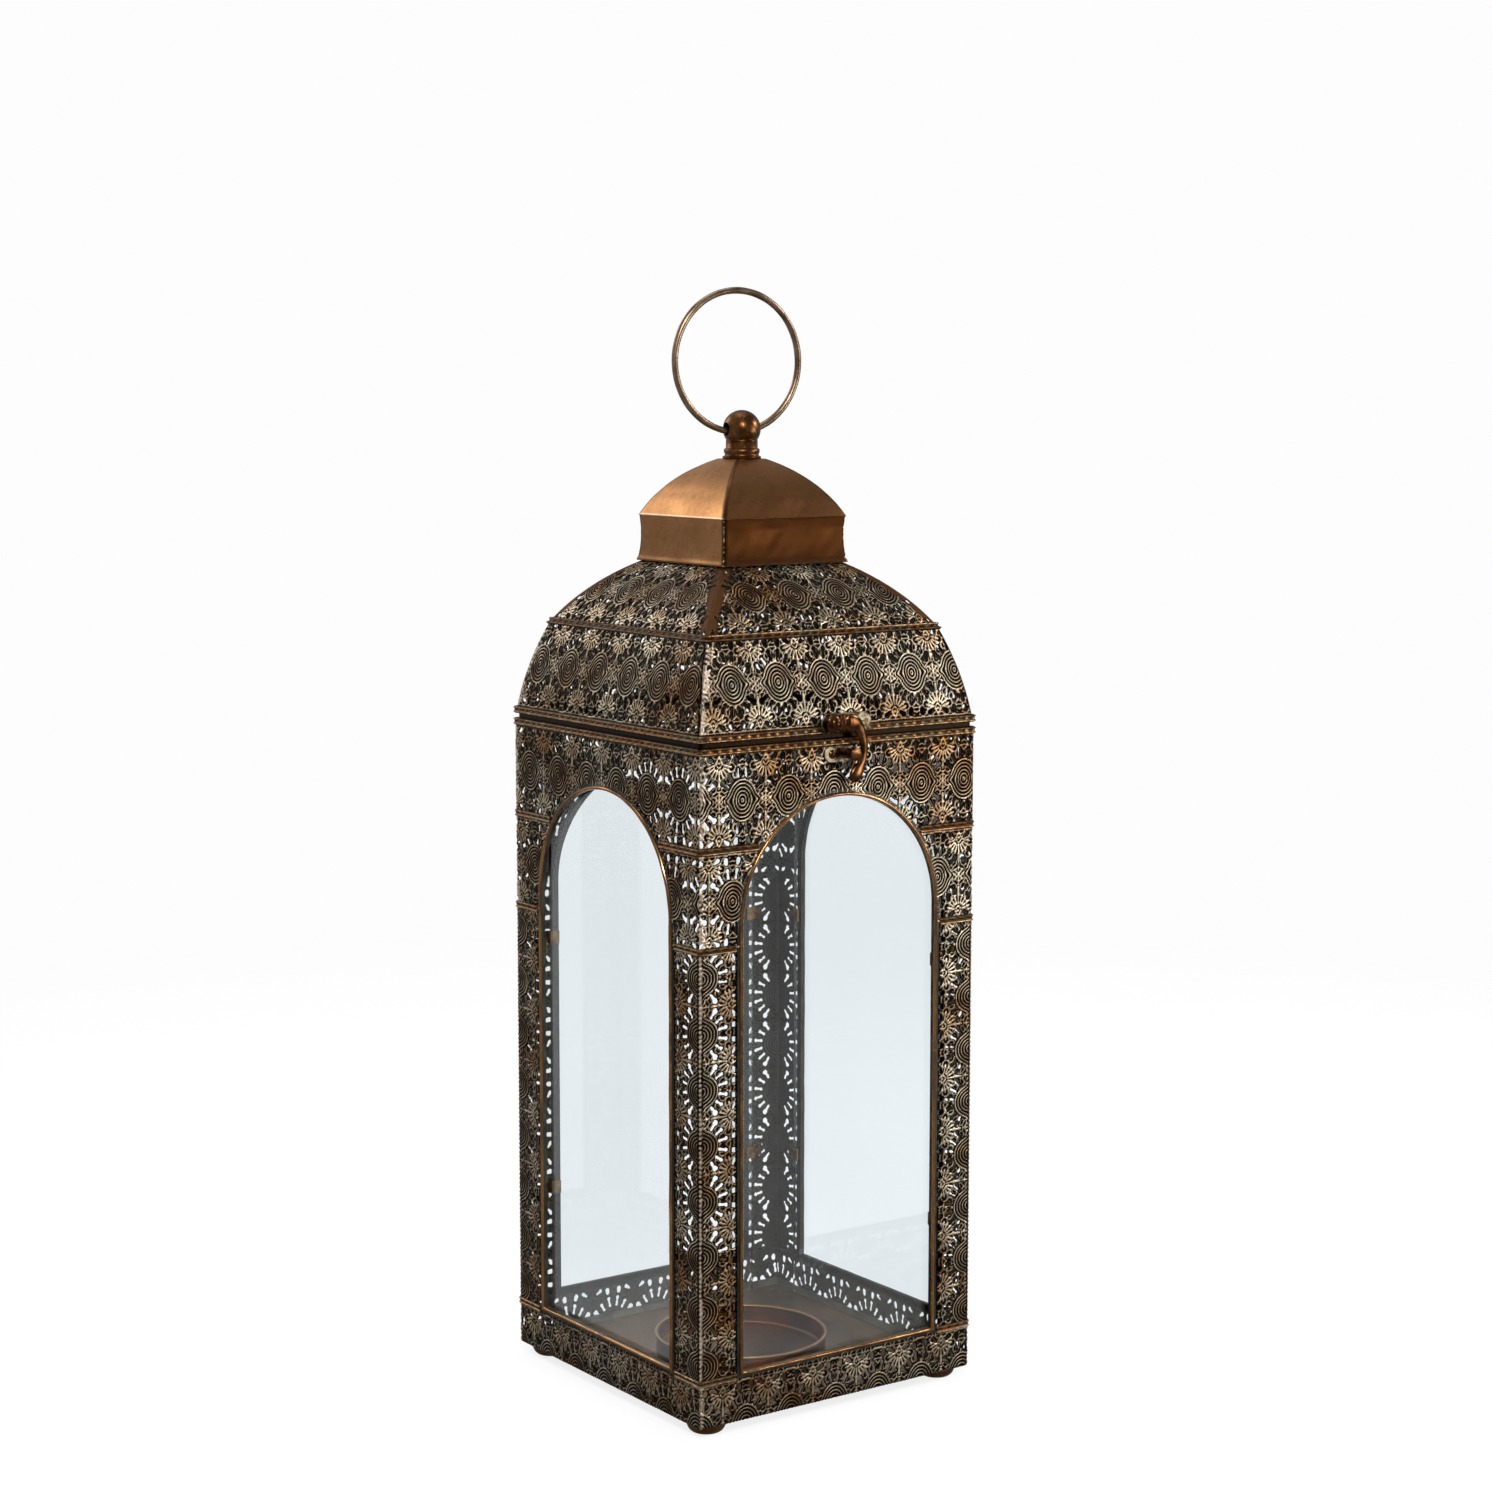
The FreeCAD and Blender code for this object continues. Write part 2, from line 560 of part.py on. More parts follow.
def make_dome():
    """Two rows of four mitred, bulging ribbon panels, and the strip over their join."""
    low_start = (HALF - DOME_INSET, Z_DOME)
    low_end = (MIDDLE_HALF, Z_MIDDLE)
    top_end = (LIP_HALF, Z_COLLAR)
    lower = mitred(curved_band(low_start, low_end, LOWER_BULGE, SHEET, 2), Z_DOME, Z_MIDDLE)
    arch = mitred(curved_band(low_end, top_end, UPPER_BULGE, SHEET, 0), Z_MIDDLE, Z_COLLAR)
    lip_face = polygon_yz([
        (LIP_HALF, Z_COLLAR - SHEET),
        (LIP_HALF, Z_COLLAR + LIP_HEIGHT),
        (LIP_HALF - SHEET, Z_COLLAR + LIP_HEIGHT),
        (LIP_HALF - SHEET, Z_COLLAR - SHEET),
    ])
    lip = mitred(lip_face, Z_COLLAR - SHEET, Z_COLLAR + LIP_HEIGHT)
    upper = fused([arch, lip])
    latch_drills = [through_hole(p, FRONT, LATCH_DEPTH, RIVET_SHANK) for p in (LATCH_PIVOT, LATCH_NAIL)]
    drills = {"front": latch_drills, "back": hinge_drills(Z_UPPER_RIVETS, UPPER_RIVET_DEPTH)}
    nodes = {}
    for name, low, high in zip(SIDES, four_ways(lower), four_ways(upper)):
        nodes[f"dome_lower_{name}"] = cut_all(low, drills.get(name))
        nodes[f"dome_upper_{name}"] = high
    slope = math.radians(27)
    along = (-math.sin(slope), math.cos(slope))
    out = (math.cos(slope), math.sin(slope))
    reach = STRIP_HEIGHT / 2
    profile = [(-reach, 0.12), (-reach, 0.12 + STRIP_PROUD), (reach, 0.12 + STRIP_PROUD), (reach, 0.12)]
    points = [
        (MIDDLE_HALF + a * along[0] + o * out[0], Z_MIDDLE + a * along[1] + o * out[1]) for a, o in profile
    ]
    strip = mitred(polygon_yz(points), Z_MIDDLE - 2 * STRIP_HEIGHT, Z_MIDDLE + 2 * STRIP_HEIGHT)
    nodes["dome_strip"] = fused(four_ways(strip))
    return nodes


def make_cap():
    """The plain cap: a waisted square collar and a four-sided dome with a small flat top."""
    foot = (CAP_HALF, Z_COLLAR)
    shoulder = (CAP_SHOULDER, Z_CAP)
    collar = mitred(curved_band(foot, shoulder, CAP_WAIST, SHEET, 2), Z_COLLAR, Z_CAP)
    roof = mitred(curved_band(shoulder, (CAP_TOP_HALF, Z_TOP), CAP_BULGE, SHEET, 1), Z_CAP, Z_TOP)
    flat = CAP_TOP_HALF + 0.4
    top = box(-flat, flat, -flat, flat, Z_TOP - SHEET, Z_TOP)
    stem_hole = cylinder(STEM_RADIUS + HOLE_CLEARANCE, Vector(0, 0, Z_TOP - 2), AXIS_Z, 4)
    return {
        "cap_collar": fused(four_ways(collar)),
        "cap_dome": fused(four_ways(roof) + [top]).cut(stem_hole),
    }


def make_finial():
    """The turned finial with its cross hole, and the nut that holds it inside the cap."""
    steps = [
        (0, -STEM_LENGTH), (STEM_RADIUS, -STEM_LENGTH), (STEM_RADIUS, 0), (FLANGE_RADIUS, 0),
        (FLANGE_RADIUS, 1.0), (NECK_RADIUS + 0.5, 1.4), (NECK_RADIUS + 0.5, 2.2), (NECK_RADIUS + 0.9, 2.8),
        (NECK_RADIUS + 0.9, 4.2), (NECK_RADIUS, 4.8), (NECK_RADIUS, NECK_HEIGHT), (0, NECK_HEIGHT),
    ]
    points = [Vector(r, 0, Z_TOP + z) for r, z in steps]
    body = Part.Face(Part.makePolygon(points + points[:1])).revolve(Vector(0, 0, 0), AXIS_Z, 360)
    body = Part.Solid(body) if body.ShapeType != "Solid" else body
    ball = Part.makeSphere(BALL_RADIUS, Vector(0, 0, BALL_Z))
    hole = cylinder(RING_HOLE, Vector(-20, 0, BALL_Z), AXIS_X, 40)
    finial = fused([body, ball]).cut(hole)

    corner = NUT_FLATS / math.sqrt(3)
    z0 = Z_TOP - SHEET - NUT_HEIGHT
    hexagon = [
        Vector(corner * math.cos(math.radians(60 * k)), corner * math.sin(math.radians(60 * k)), z0)
        for k in range(6)
    ]
    nut = Part.Face(Part.makePolygon(hexagon + hexagon[:1])).extrude(Vector(0, 0, NUT_HEIGHT))
    nut = nut.cut(cylinder(STEM_RADIUS + HOLE_CLEARANCE, Vector(0, 0, z0 - 1), AXIS_Z, NUT_HEIGHT + 2))
    return {"finial": turned(finial, FINIAL_TURN), "finial_nut": nut}


def make_ring():
    """The round wire ring through the ball, leaning a little in its own plane."""
    lean = math.radians(RING_LEAN)
    middle = Vector(-RING_RADIUS * math.sin(lean), 0, BALL_Z - RING_DROP + RING_RADIUS * math.cos(lean))
    return {"ring": turned(Part.makeTorus(RING_RADIUS, WIRE_RADIUS, middle, AXIS_Y), FINIAL_TURN)}


def make_latch():
    """The lid's plate with its nail and pivot, and the cast hook."""
    plate = rounded_plate(PLATE_LEFT, PLATE_RIGHT, PIVOT_Z, PLATE_HALF, LATCH_FACE, -FACE)
    pivot_hole = through_hole(LATCH_PIVOT, FRONT, LATCH_DEPTH, RIVET_SHANK)
    nail_hole = through_hole(LATCH_NAIL, FRONT, LATCH_DEPTH, RIVET_SHANK)

    hook_back = LATCH_FACE - HOOK_BACK
    hook_front = hook_back - HOOK_THICK
    shank = cylinder(RIVET_SHANK, LATCH_PIVOT - FRONT * LATCH_DEPTH, FRONT, LATCH_DEPTH)
    journal_length = HOOK_BACK + HOOK_THICK + 0.2
    journal = cylinder(PIVOT_RADIUS, LATCH_PIVOT, FRONT, journal_length)
    head = dome_head(RIVET_HEAD + 0.6, RIVET_RISE, LATCH_PIVOT + FRONT * journal_length, FRONT)
    nail = cylinder(RIVET_SHANK, LATCH_NAIL - FRONT * LATCH_DEPTH, FRONT, LATCH_DEPTH - 0.3)

    arm = box(PIVOT_X, BOSS_X, hook_front, hook_back, PIVOT_Z - ARM_HALF, PIVOT_Z + ARM_HALF)
    heel = cylinder(ARM_HALF, Vector(PIVOT_X, hook_front, PIVOT_Z), AXIS_Y, HOOK_THICK)
    boss = cylinder(ARM_HALF, Vector(BOSS_X, hook_front, PIVOT_Z), AXIS_Y, HOOK_THICK)
    dome = dome_head(BOSS_RADIUS, 1.2, Vector(BOSS_X, hook_front + 0.01, PIVOT_Z), FRONT)
    bend = neck_path(hook_back)
    tip_y = hook_back - HOOK_THICK / 2 - 0.3
    tip = Part.makeSphere(TIP_RADIUS, Vector(TIP_X, tip_y, PIVOT_Z - TIP_DROP))
    guard = box(-30, 30, hook_back, hook_back + 10, PIVOT_Z - 40, PIVOT_Z + 20)
    bore = through_hole(Vector(PIVOT_X, hook_front, PIVOT_Z), FRONT, HOOK_THICK, PIVOT_RADIUS)
    hook = fused([arm, heel, boss, dome, bend, tip]).cut([guard, bore])
    return {
        "latch_plate": plate.cut([pivot_hole, nail_hole]),
        "latch_nail": nail,
        "latch_pivot": fused([shank, journal, head]),
        "latch_hook": hook,
    }


def neck_path(hook_back):
    """The bent neck: a band that leaves the boss, turns down past the stud and in under it."""
    y = hook_back
    centre = [
        (BOSS_X, PIVOT_Z + 0.5),
        (NECK_X - 1.9, PIVOT_Z - 3.6),
        (NECK_X + 0.2, PIVOT_Z - 10.0),
        (NECK_X - 0.2, PIVOT_Z - NECK_DROP - 1.5),
        (TIP_X, PIVOT_Z - TIP_DROP),
    ]
    widths = [ARM_HALF - 0.6, 2.3, NECK_HALF, NECK_HALF, 2.4]
    outer, inner = [], []
    for k, (x, z) in enumerate(centre):
        before, after = centre[max(k - 1, 0)], centre[min(k + 1, len(centre) - 1)]
        run = math.hypot(after[0] - before[0], after[1] - before[1])
        side_x, side_z = -(after[1] - before[1]) / run, (after[0] - before[0]) / run
        outer.append(Vector(x + side_x * widths[k], y, z + side_z * widths[k]))
        inner.append(Vector(x - side_x * widths[k], y, z - side_z * widths[k]))
    outer_curve, inner_curve = Part.BSplineCurve(), Part.BSplineCurve()
    outer_curve.interpolate(outer)
    inner_curve.interpolate(inner)
    edges = [
        outer_curve.toShape(),
        Part.LineSegment(outer[-1], inner[-1]).toShape(),
        inner_curve.toShape(),
        Part.LineSegment(inner[0], outer[0]).toShape(),
    ]
    wire = Part.Wire(Part.__sortEdges__(edges))
    return Part.Face(wire).extrude(Vector(0, -HOOK_THICK * 0.85, 0))


# ---- writing -------------------------------------------------------------------------------------
def main():
    """Make every piece and write it to parts/."""
    nodes = {}
    makers = (
        make_walls, make_strips, make_body_rim, make_floor, make_windows, make_catch, make_hinges,
        make_lid_rim, make_dome, make_cap, make_finial, make_ring, make_latch,
    )
    for maker in makers:
        nodes.update(maker())
    os.makedirs("parts", exist_ok=True)
    for name, shape in sorted(nodes.items()):
        count = len(shape.Solids)
        state = "" if shape.isValid() else "  NOT VALID"
        print(f"{name}: {count} solid(s), {shape.Volume:.1f} mm3{state}")
        shape.exportStep(f"parts/{name}.step")


main()
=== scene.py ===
"""Looks of a candle lantern: pressed and pierced ribbon walls, moulded strips, a plain copper cap with a
ball finial and ring, a cast hook, clear panes and a candle tray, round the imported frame.

Lengths are in millimetres until a mesh is made. The front is towards -Y and +Z is up.
"""
import math

import bmesh
import bpy
import numpy as np
from bpy.props import FloatProperty, FloatVectorProperty, PointerProperty
from mathutils import Matrix, Vector


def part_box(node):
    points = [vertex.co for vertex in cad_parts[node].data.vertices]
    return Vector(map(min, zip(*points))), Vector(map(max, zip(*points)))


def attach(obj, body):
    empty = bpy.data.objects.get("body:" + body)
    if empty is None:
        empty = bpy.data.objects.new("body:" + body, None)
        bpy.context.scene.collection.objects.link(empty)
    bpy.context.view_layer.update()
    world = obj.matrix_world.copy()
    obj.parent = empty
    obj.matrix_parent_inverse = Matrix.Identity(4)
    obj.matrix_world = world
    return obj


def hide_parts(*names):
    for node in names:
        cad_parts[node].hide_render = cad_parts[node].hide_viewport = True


bl_info = {
    "name": "Candle lantern",
    "version": (1, 0, 0),
    "blender": (4, 5, 0),
    "location": "3D View > Sidebar > Lantern",
    "description": "Builds the looks of a pierced metal candle lantern",
    "category": "Object",
}

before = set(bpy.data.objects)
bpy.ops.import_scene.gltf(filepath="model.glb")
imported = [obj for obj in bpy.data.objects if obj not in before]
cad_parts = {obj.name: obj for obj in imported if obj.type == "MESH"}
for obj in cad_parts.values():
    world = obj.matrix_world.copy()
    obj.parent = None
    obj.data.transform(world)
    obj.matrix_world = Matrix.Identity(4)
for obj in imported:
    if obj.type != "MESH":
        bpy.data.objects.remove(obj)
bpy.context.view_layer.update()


def span(node):
    """Lowest and highest corner of a frame node, in millimetres."""
    low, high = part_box(node)
    return np.array(low) * 1000, np.array(high) * 1000


HALF = span("upper_band")[1][0]             # outer face of the walls
FACE = span("body_rim")[1][0]               # outer face of the strips
Z_BASE, Z_POST = span("base_band")[0][2], span("base_band")[1][2]
Z_SPANDREL, Z_UPPER = span("spandrel_front_left")[0][2], span("upper_band")[0][2]
Z_FLANGE, Z_BODY_TOP = span("upper_band")[1][2], span("body_rim")[1][2]
Z_LID, Z_DOME = Z_BODY_TOP + 2.0, span("lid_rim")[1][2]
Z_MIDDLE, Z_COLLAR = span("dome_lower_front")[1][2], span("cap_collar")[0][2]
Z_CAP, Z_TOP = span("cap_collar")[1][2], span("cap_dome")[1][2]
CAP_HALF = span("cap_collar")[1][0]
MIDDLE_HALF = HALF - 11.7
TRIM_OUT = -span("window_trim_front")[0][1]  # front of the trims
TRIM_IN = -span("window_trim_front")[1][1]
WINDOW_HALF = span("window_trim_front")[1][0] - 3.0
WINDOW_SILL = span("window_trim_front")[0][2] + 3.0
Z_SPRING = span("window_trim_front")[1][2] - 3.0 - WINDOW_HALF
SIDES = ("front", "right", "back", "left")
CORNERS = ("front_right", "back_right", "back_left", "front_left")


# ---- settings --------------------------------------------------------------------------------------
def linear(colour):
    """An sRGB hex value as linear red, green, blue and alpha."""
    parts = np.array([int(colour[k:k + 2], 16) for k in (1, 3, 5)]) / 255
    parts = np.where(parts <= 0.04045, parts / 12.92, ((parts + 0.055) / 1.055) ** 2.4)
    return (*[float(p) for p in parts], 1.0)


class LanternSizes(bpy.types.PropertyGroup):
    """Sizes of the pressed ribbon and the sheets."""
    pitch: FloatProperty(name="Pattern pitch", description="Length of one repeat of the ribbon, in mm", default=24.4)
    step: FloatProperty(name="Grid step", description="Distance between mesh points on the ribbon, in mm", default=0.55)
    relief: FloatProperty(name="Relief", description="Height of the pressed lines, in mm", default=0.42)
    sheet: FloatProperty(name="Sheet", description="Thickness of the ribbon, in mm", default=0.4)
    fold: FloatProperty(name="Fold radius", description="Radius of the folds at the corners, in mm", default=1.2)


def colour_setting(name, description, value):
    """A colour picker whose default is an sRGB hex value."""
    return FloatVectorProperty(name=name, description=description, subtype="COLOR", size=4, default=linear(value))


class LanternColours(bpy.types.PropertyGroup):
    """Colours of the metals."""
    # recess also colours the dips at the hole edges, where it is painted shadow
    recess: colour_setting("Recess", "Blackened bottom of the pressed pattern", "#0B0704")
    ground: colour_setting("Ground", "Brown ground of the ribbon", "#4A2D16")
    grey: colour_setting("Grey ground", "Greyer places on the ribbon", "#4E4636")
    # ridge is rubbed metal and also painted highlight on the tops of the pressed lines
    ridge: colour_setting("Ridge", "Rubbed tops of the pressed lines", "#F2E2C6")
    worn: colour_setting("Worn edge", "Bare metal on the folds", "#EAD3BC")
    copper: colour_setting("Copper", "Aged copper of the cap", "#B98350")
    cast: colour_setting("Cast", "Darkened cast brass", "#6B4728")


# ---- meshes ----------------------------------------------------------------------------------------
def make_piece(name, points, faces, body, materials, nodes=(), smooth=None, marks=None, which=None,
               poles=False):
    """A mesh object from points in mm and rows of corner numbers, riding on a body.

    smooth is the angle in degrees over which an edge stays sharp, marks holds values per point that the
    materials read, which gives each face's material, and poles joins the points that meet on the axis.
    """
    mesh = bpy.data.meshes.new(name)
    points = np.asarray(points, float).reshape(-1, 3) / 1000
    groups = [np.asarray(f) for f in (faces if isinstance(faces, list) else [faces])]
    corners = np.concatenate([g.ravel() for g in groups])
    sizes = np.concatenate([np.full(len(g), g.shape[1]) for g in groups])
    mesh.vertices.add(len(points))
    mesh.vertices.foreach_set("co", points.ravel())
    mesh.loops.add(len(corners))
    mesh.loops.foreach_set("vertex_index", corners.astype(np.int32))
    mesh.polygons.add(len(sizes))
    mesh.polygons.foreach_set("loop_start", np.concatenate([[0], np.cumsum(sizes)[:-1]]).astype(np.int32))
    for material in materials:
        mesh.materials.append(material)
    if which is not None:
        mesh.polygons.foreach_set("material_index", np.asarray(which, np.int32))
    for key, values in (marks or {}).items():
        layer = mesh.attributes.new(key, "FLOAT", "POINT")
        layer.data.foreach_set("value", np.asarray(values, np.float32).ravel())
    mesh.update(calc_edges=True)
    mesh.validate()
    if poles:
        merge_points(mesh)
    mesh.polygons.foreach_set("use_smooth", np.ones(len(mesh.polygons), bool))
    if smooth is not None:
        mesh.set_sharp_from_angle(angle=math.radians(smooth))
    piece = bpy.data.objects.new(name, mesh)
    bpy.context.scene.collection.objects.link(piece)
    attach(piece, body)
    if nodes:
        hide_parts(*nodes)
    return piece


def grid_faces(rows, columns, close_rows=False, close_columns=False):
    """Quads between neighbouring points of a grid that is numbered row by row, anticlockwise seen from
    the side where columns run right and rows run up."""
    r = np.arange(rows if close_rows else rows - 1)
    c = np.arange(columns if close_columns else columns - 1)
    r, c = np.meshgrid(r, c, indexing="ij")
    up, along = (r + 1) % rows, (c + 1) % columns
    return np.stack([r * columns + c, r * columns + along, up * columns + along, up * columns + c], -1).reshape(-1, 4)


def quarter_turns(points, count):
    """Points turned about Z by a number of quarter turns, front to right."""
    turn = math.radians(90 * count)
    x, y = points[..., 0], points[..., 1]
    return np.stack([x * math.cos(turn) - y * math.sin(turn), x * math.sin(turn) + y * math.cos(turn),
                     points[..., 2]], -1)


def lathe(profile, turns=64):
    """A profile of (radius, height) pairs turned round Z: x = r cos a, y = r sin a."""
    profile = np.asarray(profile, float)
    a = np.linspace(0, 2 * math.pi, turns, endpoint=False)
    r, z = profile[:, :1], profile[:, 1:]
    points = np.stack([r * np.cos(a), r * np.sin(a), z + 0 * a], -1)
    return points.reshape(-1, 3), grid_faces(len(profile), turns, close_columns=True)


def smooth_curve(corners, count):
    """A Catmull-Rom curve through the corners: each stretch is the cubic whose ends point along the line
    between its neighbours. It returns count rows with as many values as a corner has."""
    corners = np.asarray(corners, float)
    padded = np.vstack([2 * corners[0] - corners[1], corners, 2 * corners[-1] - corners[-2]])
    t = np.linspace(0, len(corners) - 1 - 1e-9, count)
    k = t.astype(int)
    f = (t - k)[:, None]
    a, b, c, d = (padded[k + i] for i in range(4))
    return 0.5 * (2 * b + (c - a) * f + (2 * a - 5 * b + 4 * c - d) * f**2 + (3 * b - a - 3 * c + d) * f**3)


def soft_noise(points, scale, seed=0.0):
    """Smooth unevenness between about -1 and 1: the mean of six sine waves that run in fixed directions,
    each about one scale long."""
    total = 0
    for k in range(6):
        a, b = 1.3 * k + seed, 2.1 * k + 0.7 + seed
        way = np.array([math.cos(a) * math.cos(b), math.sin(a) * math.cos(b), math.sin(b)])
        total = total + np.sin(points @ way * (2 * math.pi / scale) * (1 + 0.17 * k) + 5 * a)
    return total / 3.2


# ---- the pressed pattern ---------------------------------------------------------------------------
def ridge(distance, width):
    """A rounded line: 1 on the line and falling off with the square of the distance."""
    return np.exp(-(distance / width) ** 2)


def capsule(x, y, start, end, first, last):
    """Distance to a bar with round ends whose radius runs from first to last."""
    dx, dy = end[0] - start[0], end[1] - start[1]
    t = np.clip(((x - start[0]) * dx + (y - start[1]) * dy) / (dx * dx + dy * dy), 0, 1)
    return np.hypot(x - start[0] - t * dx, y - start[1] - t * dy) - (first + (last - first) * t)


def bone(x, y, degrees, near, far, neck, first, last):
    """Distance to a bone-shaped piercing on a ray from the medallion's middle, turned from the cross axis."""
    s, c = math.sin(math.radians(degrees)), math.cos(math.radians(degrees))
    start, end = (near * s, near * c), (far * s, far * c)
    ends = np.minimum(np.hypot(x - start[0], y - start[1]) - first, np.hypot(x - end[0], y - end[1]) - last)
    return np.minimum(capsule(x, y, start, end, neck, neck), ends)


def piercings(x, y):
    """Distance to the nearest hole in one quarter of a repeat, negative inside.

    x runs along the ribbon from the middle of a medallion, y across it from the ribbon's middle line.
    """
    holes = [
        bone(x, y, 10.5, 10.3, 13.7, 0.5, 0.75, 0.9),
        bone(x, y, 31.0, 9.9, 12.9, 0.5, 0.7, 0.85),
        bone(x, y, 52.0, 9.4, 12.7, 0.65, 0.75, 1.3),
        capsule(x, y, (3.1, 16.6), (3.3, 17.9), 0.95, 1.15),
        capsule(x, y, (7.4, 18.2), (9.3, 16.9), 0.95, 0.4),
    ]
    return np.minimum.reduce(holes)


def pressed(x, y, pitch, holes):
    """Height of the pressed lines in one quarter of a repeat, from -0.6 in the recesses to 1 on a line.

    A medallion of nested ogee rings stands at the middle, a rosette half a pitch along, and a palmette
    fans out from its eye near the ribbon's edge above the rosette. Each hole has a raised edge, and small
    curls, rings about the nearest of a few middles, fill the ground between.
    """
    half = pitch / 2
    ogee = np.hypot(x * 1.22, y) - 2.6 * ridge(y, 2.1) * np.clip((x - 4.5) / 4, 0, 1)
    rings = 0.5 + 0.5 * np.cos(2 * math.pi * (ogee - 8.9) / 1.62)
    inside = np.clip((9.5 - ogee) / 0.5, 0, 1)
    height = inside * (1.15 * rings - 0.3) + ridge(ogee - 8.9, 0.42) * 0.25

    dx, flower = x - half, np.hypot(x - half, y)
    angle = np.arctan2(np.abs(dx), y + 1e-9)
    petal = np.abs((angle + math.pi / 8) % (math.pi / 4) - math.pi / 8) * flower
    petals = ridge(petal, 0.42) * np.clip((flower - 1.3) / 0.4, 0, 1) * np.clip((3.9 - flower) / 0.5, 0, 1)
    rosette = np.maximum(ridge(flower, 0.75) * 1.2, petals)
    rosette = np.maximum(rosette, ridge(flower - 4.5, 0.38) * 0.8 * (np.cos(angle * 8) > -0.3))

    across = 16.3 - y
    reach, bearing = np.hypot(dx, across), np.arctan2(np.abs(dx), across)
    ray = np.abs((bearing + math.radians(9.5)) % math.radians(19) - math.radians(9.5)) * reach
    length = 8.0 - 1.3 * (bearing / math.radians(95)) ** 2
    fan = ridge(ray, 0.26 + 0.045 * reach) * np.clip((reach - 2.3) / 0.4, 0, 1) * np.clip((length - reach) / 0.6, 0, 1)
    fan = fan * (bearing < math.radians(104))
    eye = np.hypot(dx * 1.5, across + 0.3)
    palmette = np.maximum(fan * 1.05, np.maximum(ridge(eye - 2.0, 0.42), ridge(eye, 0.75) * 1.1))
    stem = ridge(dx, 0.45 + 0.1 * (y - 5)) * np.clip((y - 4.9) / 0.5, 0, 1) * np.clip((8.9 - y) / 0.6, 0, 1)

    wing = ridge(np.hypot(x - 8.6, y - 19.6) - 3.3, 0.36) * (y < 19.4) * 0.9
    collar = ridge(ogee - 10.15, 0.3) * 0.45 * (y < 6.5)
    border = 0.7 * ridge(y - 20.1, 0.35)
    middles = ((3.2, 11.6), (6.9, 9.4), (5.6, 14.6), (9.4, 12.4), (1.3, 19.0), (5.6, 20.4), (9.2, 5.6), (10.6, 20.2))
    curl = np.minimum.reduce([np.hypot(x - a, y - b) for a, b in middles])
    curls = 0.72 * np.clip(np.cos(2 * math.pi * curl / 1.75) * 1.3, -0.5, 1)
    rims = 0.85 * ridge(holes - 0.42, 0.3)
    outside = np.maximum.reduce([rosette, palmette, stem, wing, collar, border])
    outside = np.where(outside < 0.35, np.maximum(outside - 0.2, curls), outside)
    outside = np.maximum(outside, rims)
    return np.where(ogee < 9.5, height, outside)


def ribbon(along, across, sizes):
    """Height and piercings of the endless ribbon at any place, by folding it back to a quarter repeat."""
    x = np.abs((along + sizes.pitch / 2) % sizes.pitch - sizes.pitch / 2)
    y = np.abs(across)
    holes = piercings(x, y)
    return pressed(x, y, sizes.pitch, holes), holes


# ---- walls -----------------------------------------------------------------------------------------
def side_path(s, half, fold):
    """A place on the front of a square with rounded corners: flat, then an arc at each end.

    s runs along the front from its middle. It returns x, the depth from the middle, and the normal.
    """
    a = np.clip((np.abs(s) - (half - fold)) / fold, 0, math.pi / 4)
    flat = np.minimum(np.abs(s), half - fold)
    sign = np.sign(s)
    return sign * (flat + fold * np.sin(a)), half - fold + fold * np.cos(a), sign * np.sin(a), np.cos(a)


def corner_path(s, half, fold):
    """A place round the front right corner: an arc in the middle, flat to each side of it.

    s runs from the front round to the right side. It returns x, the depth, and the normal.
    """
    a = np.clip(s / fold, -math.pi / 4, math.pi / 4)
    rest, turn = s - a * fold, math.pi / 4 + a
    x = half - fold + fold * np.sin(turn) + rest * np.cos(turn)
    depth = half - fold + fold * np.cos(turn) - rest * np.sin(turn)
    return x, depth, np.sin(turn), np.cos(turn)


def window_edge(x, z, reach):
    """Distance outwards from a round-headed window that is reach wider than the clear opening."""
    radius = WINDOW_HALF + reach
    sides = np.abs(x) - radius
    arch = np.hypot(x, np.maximum(z - Z_SPRING, 0)) - radius
    return np.where(z > Z_SPRING, arch, np.maximum(sides, WINDOW_SILL - reach - z))


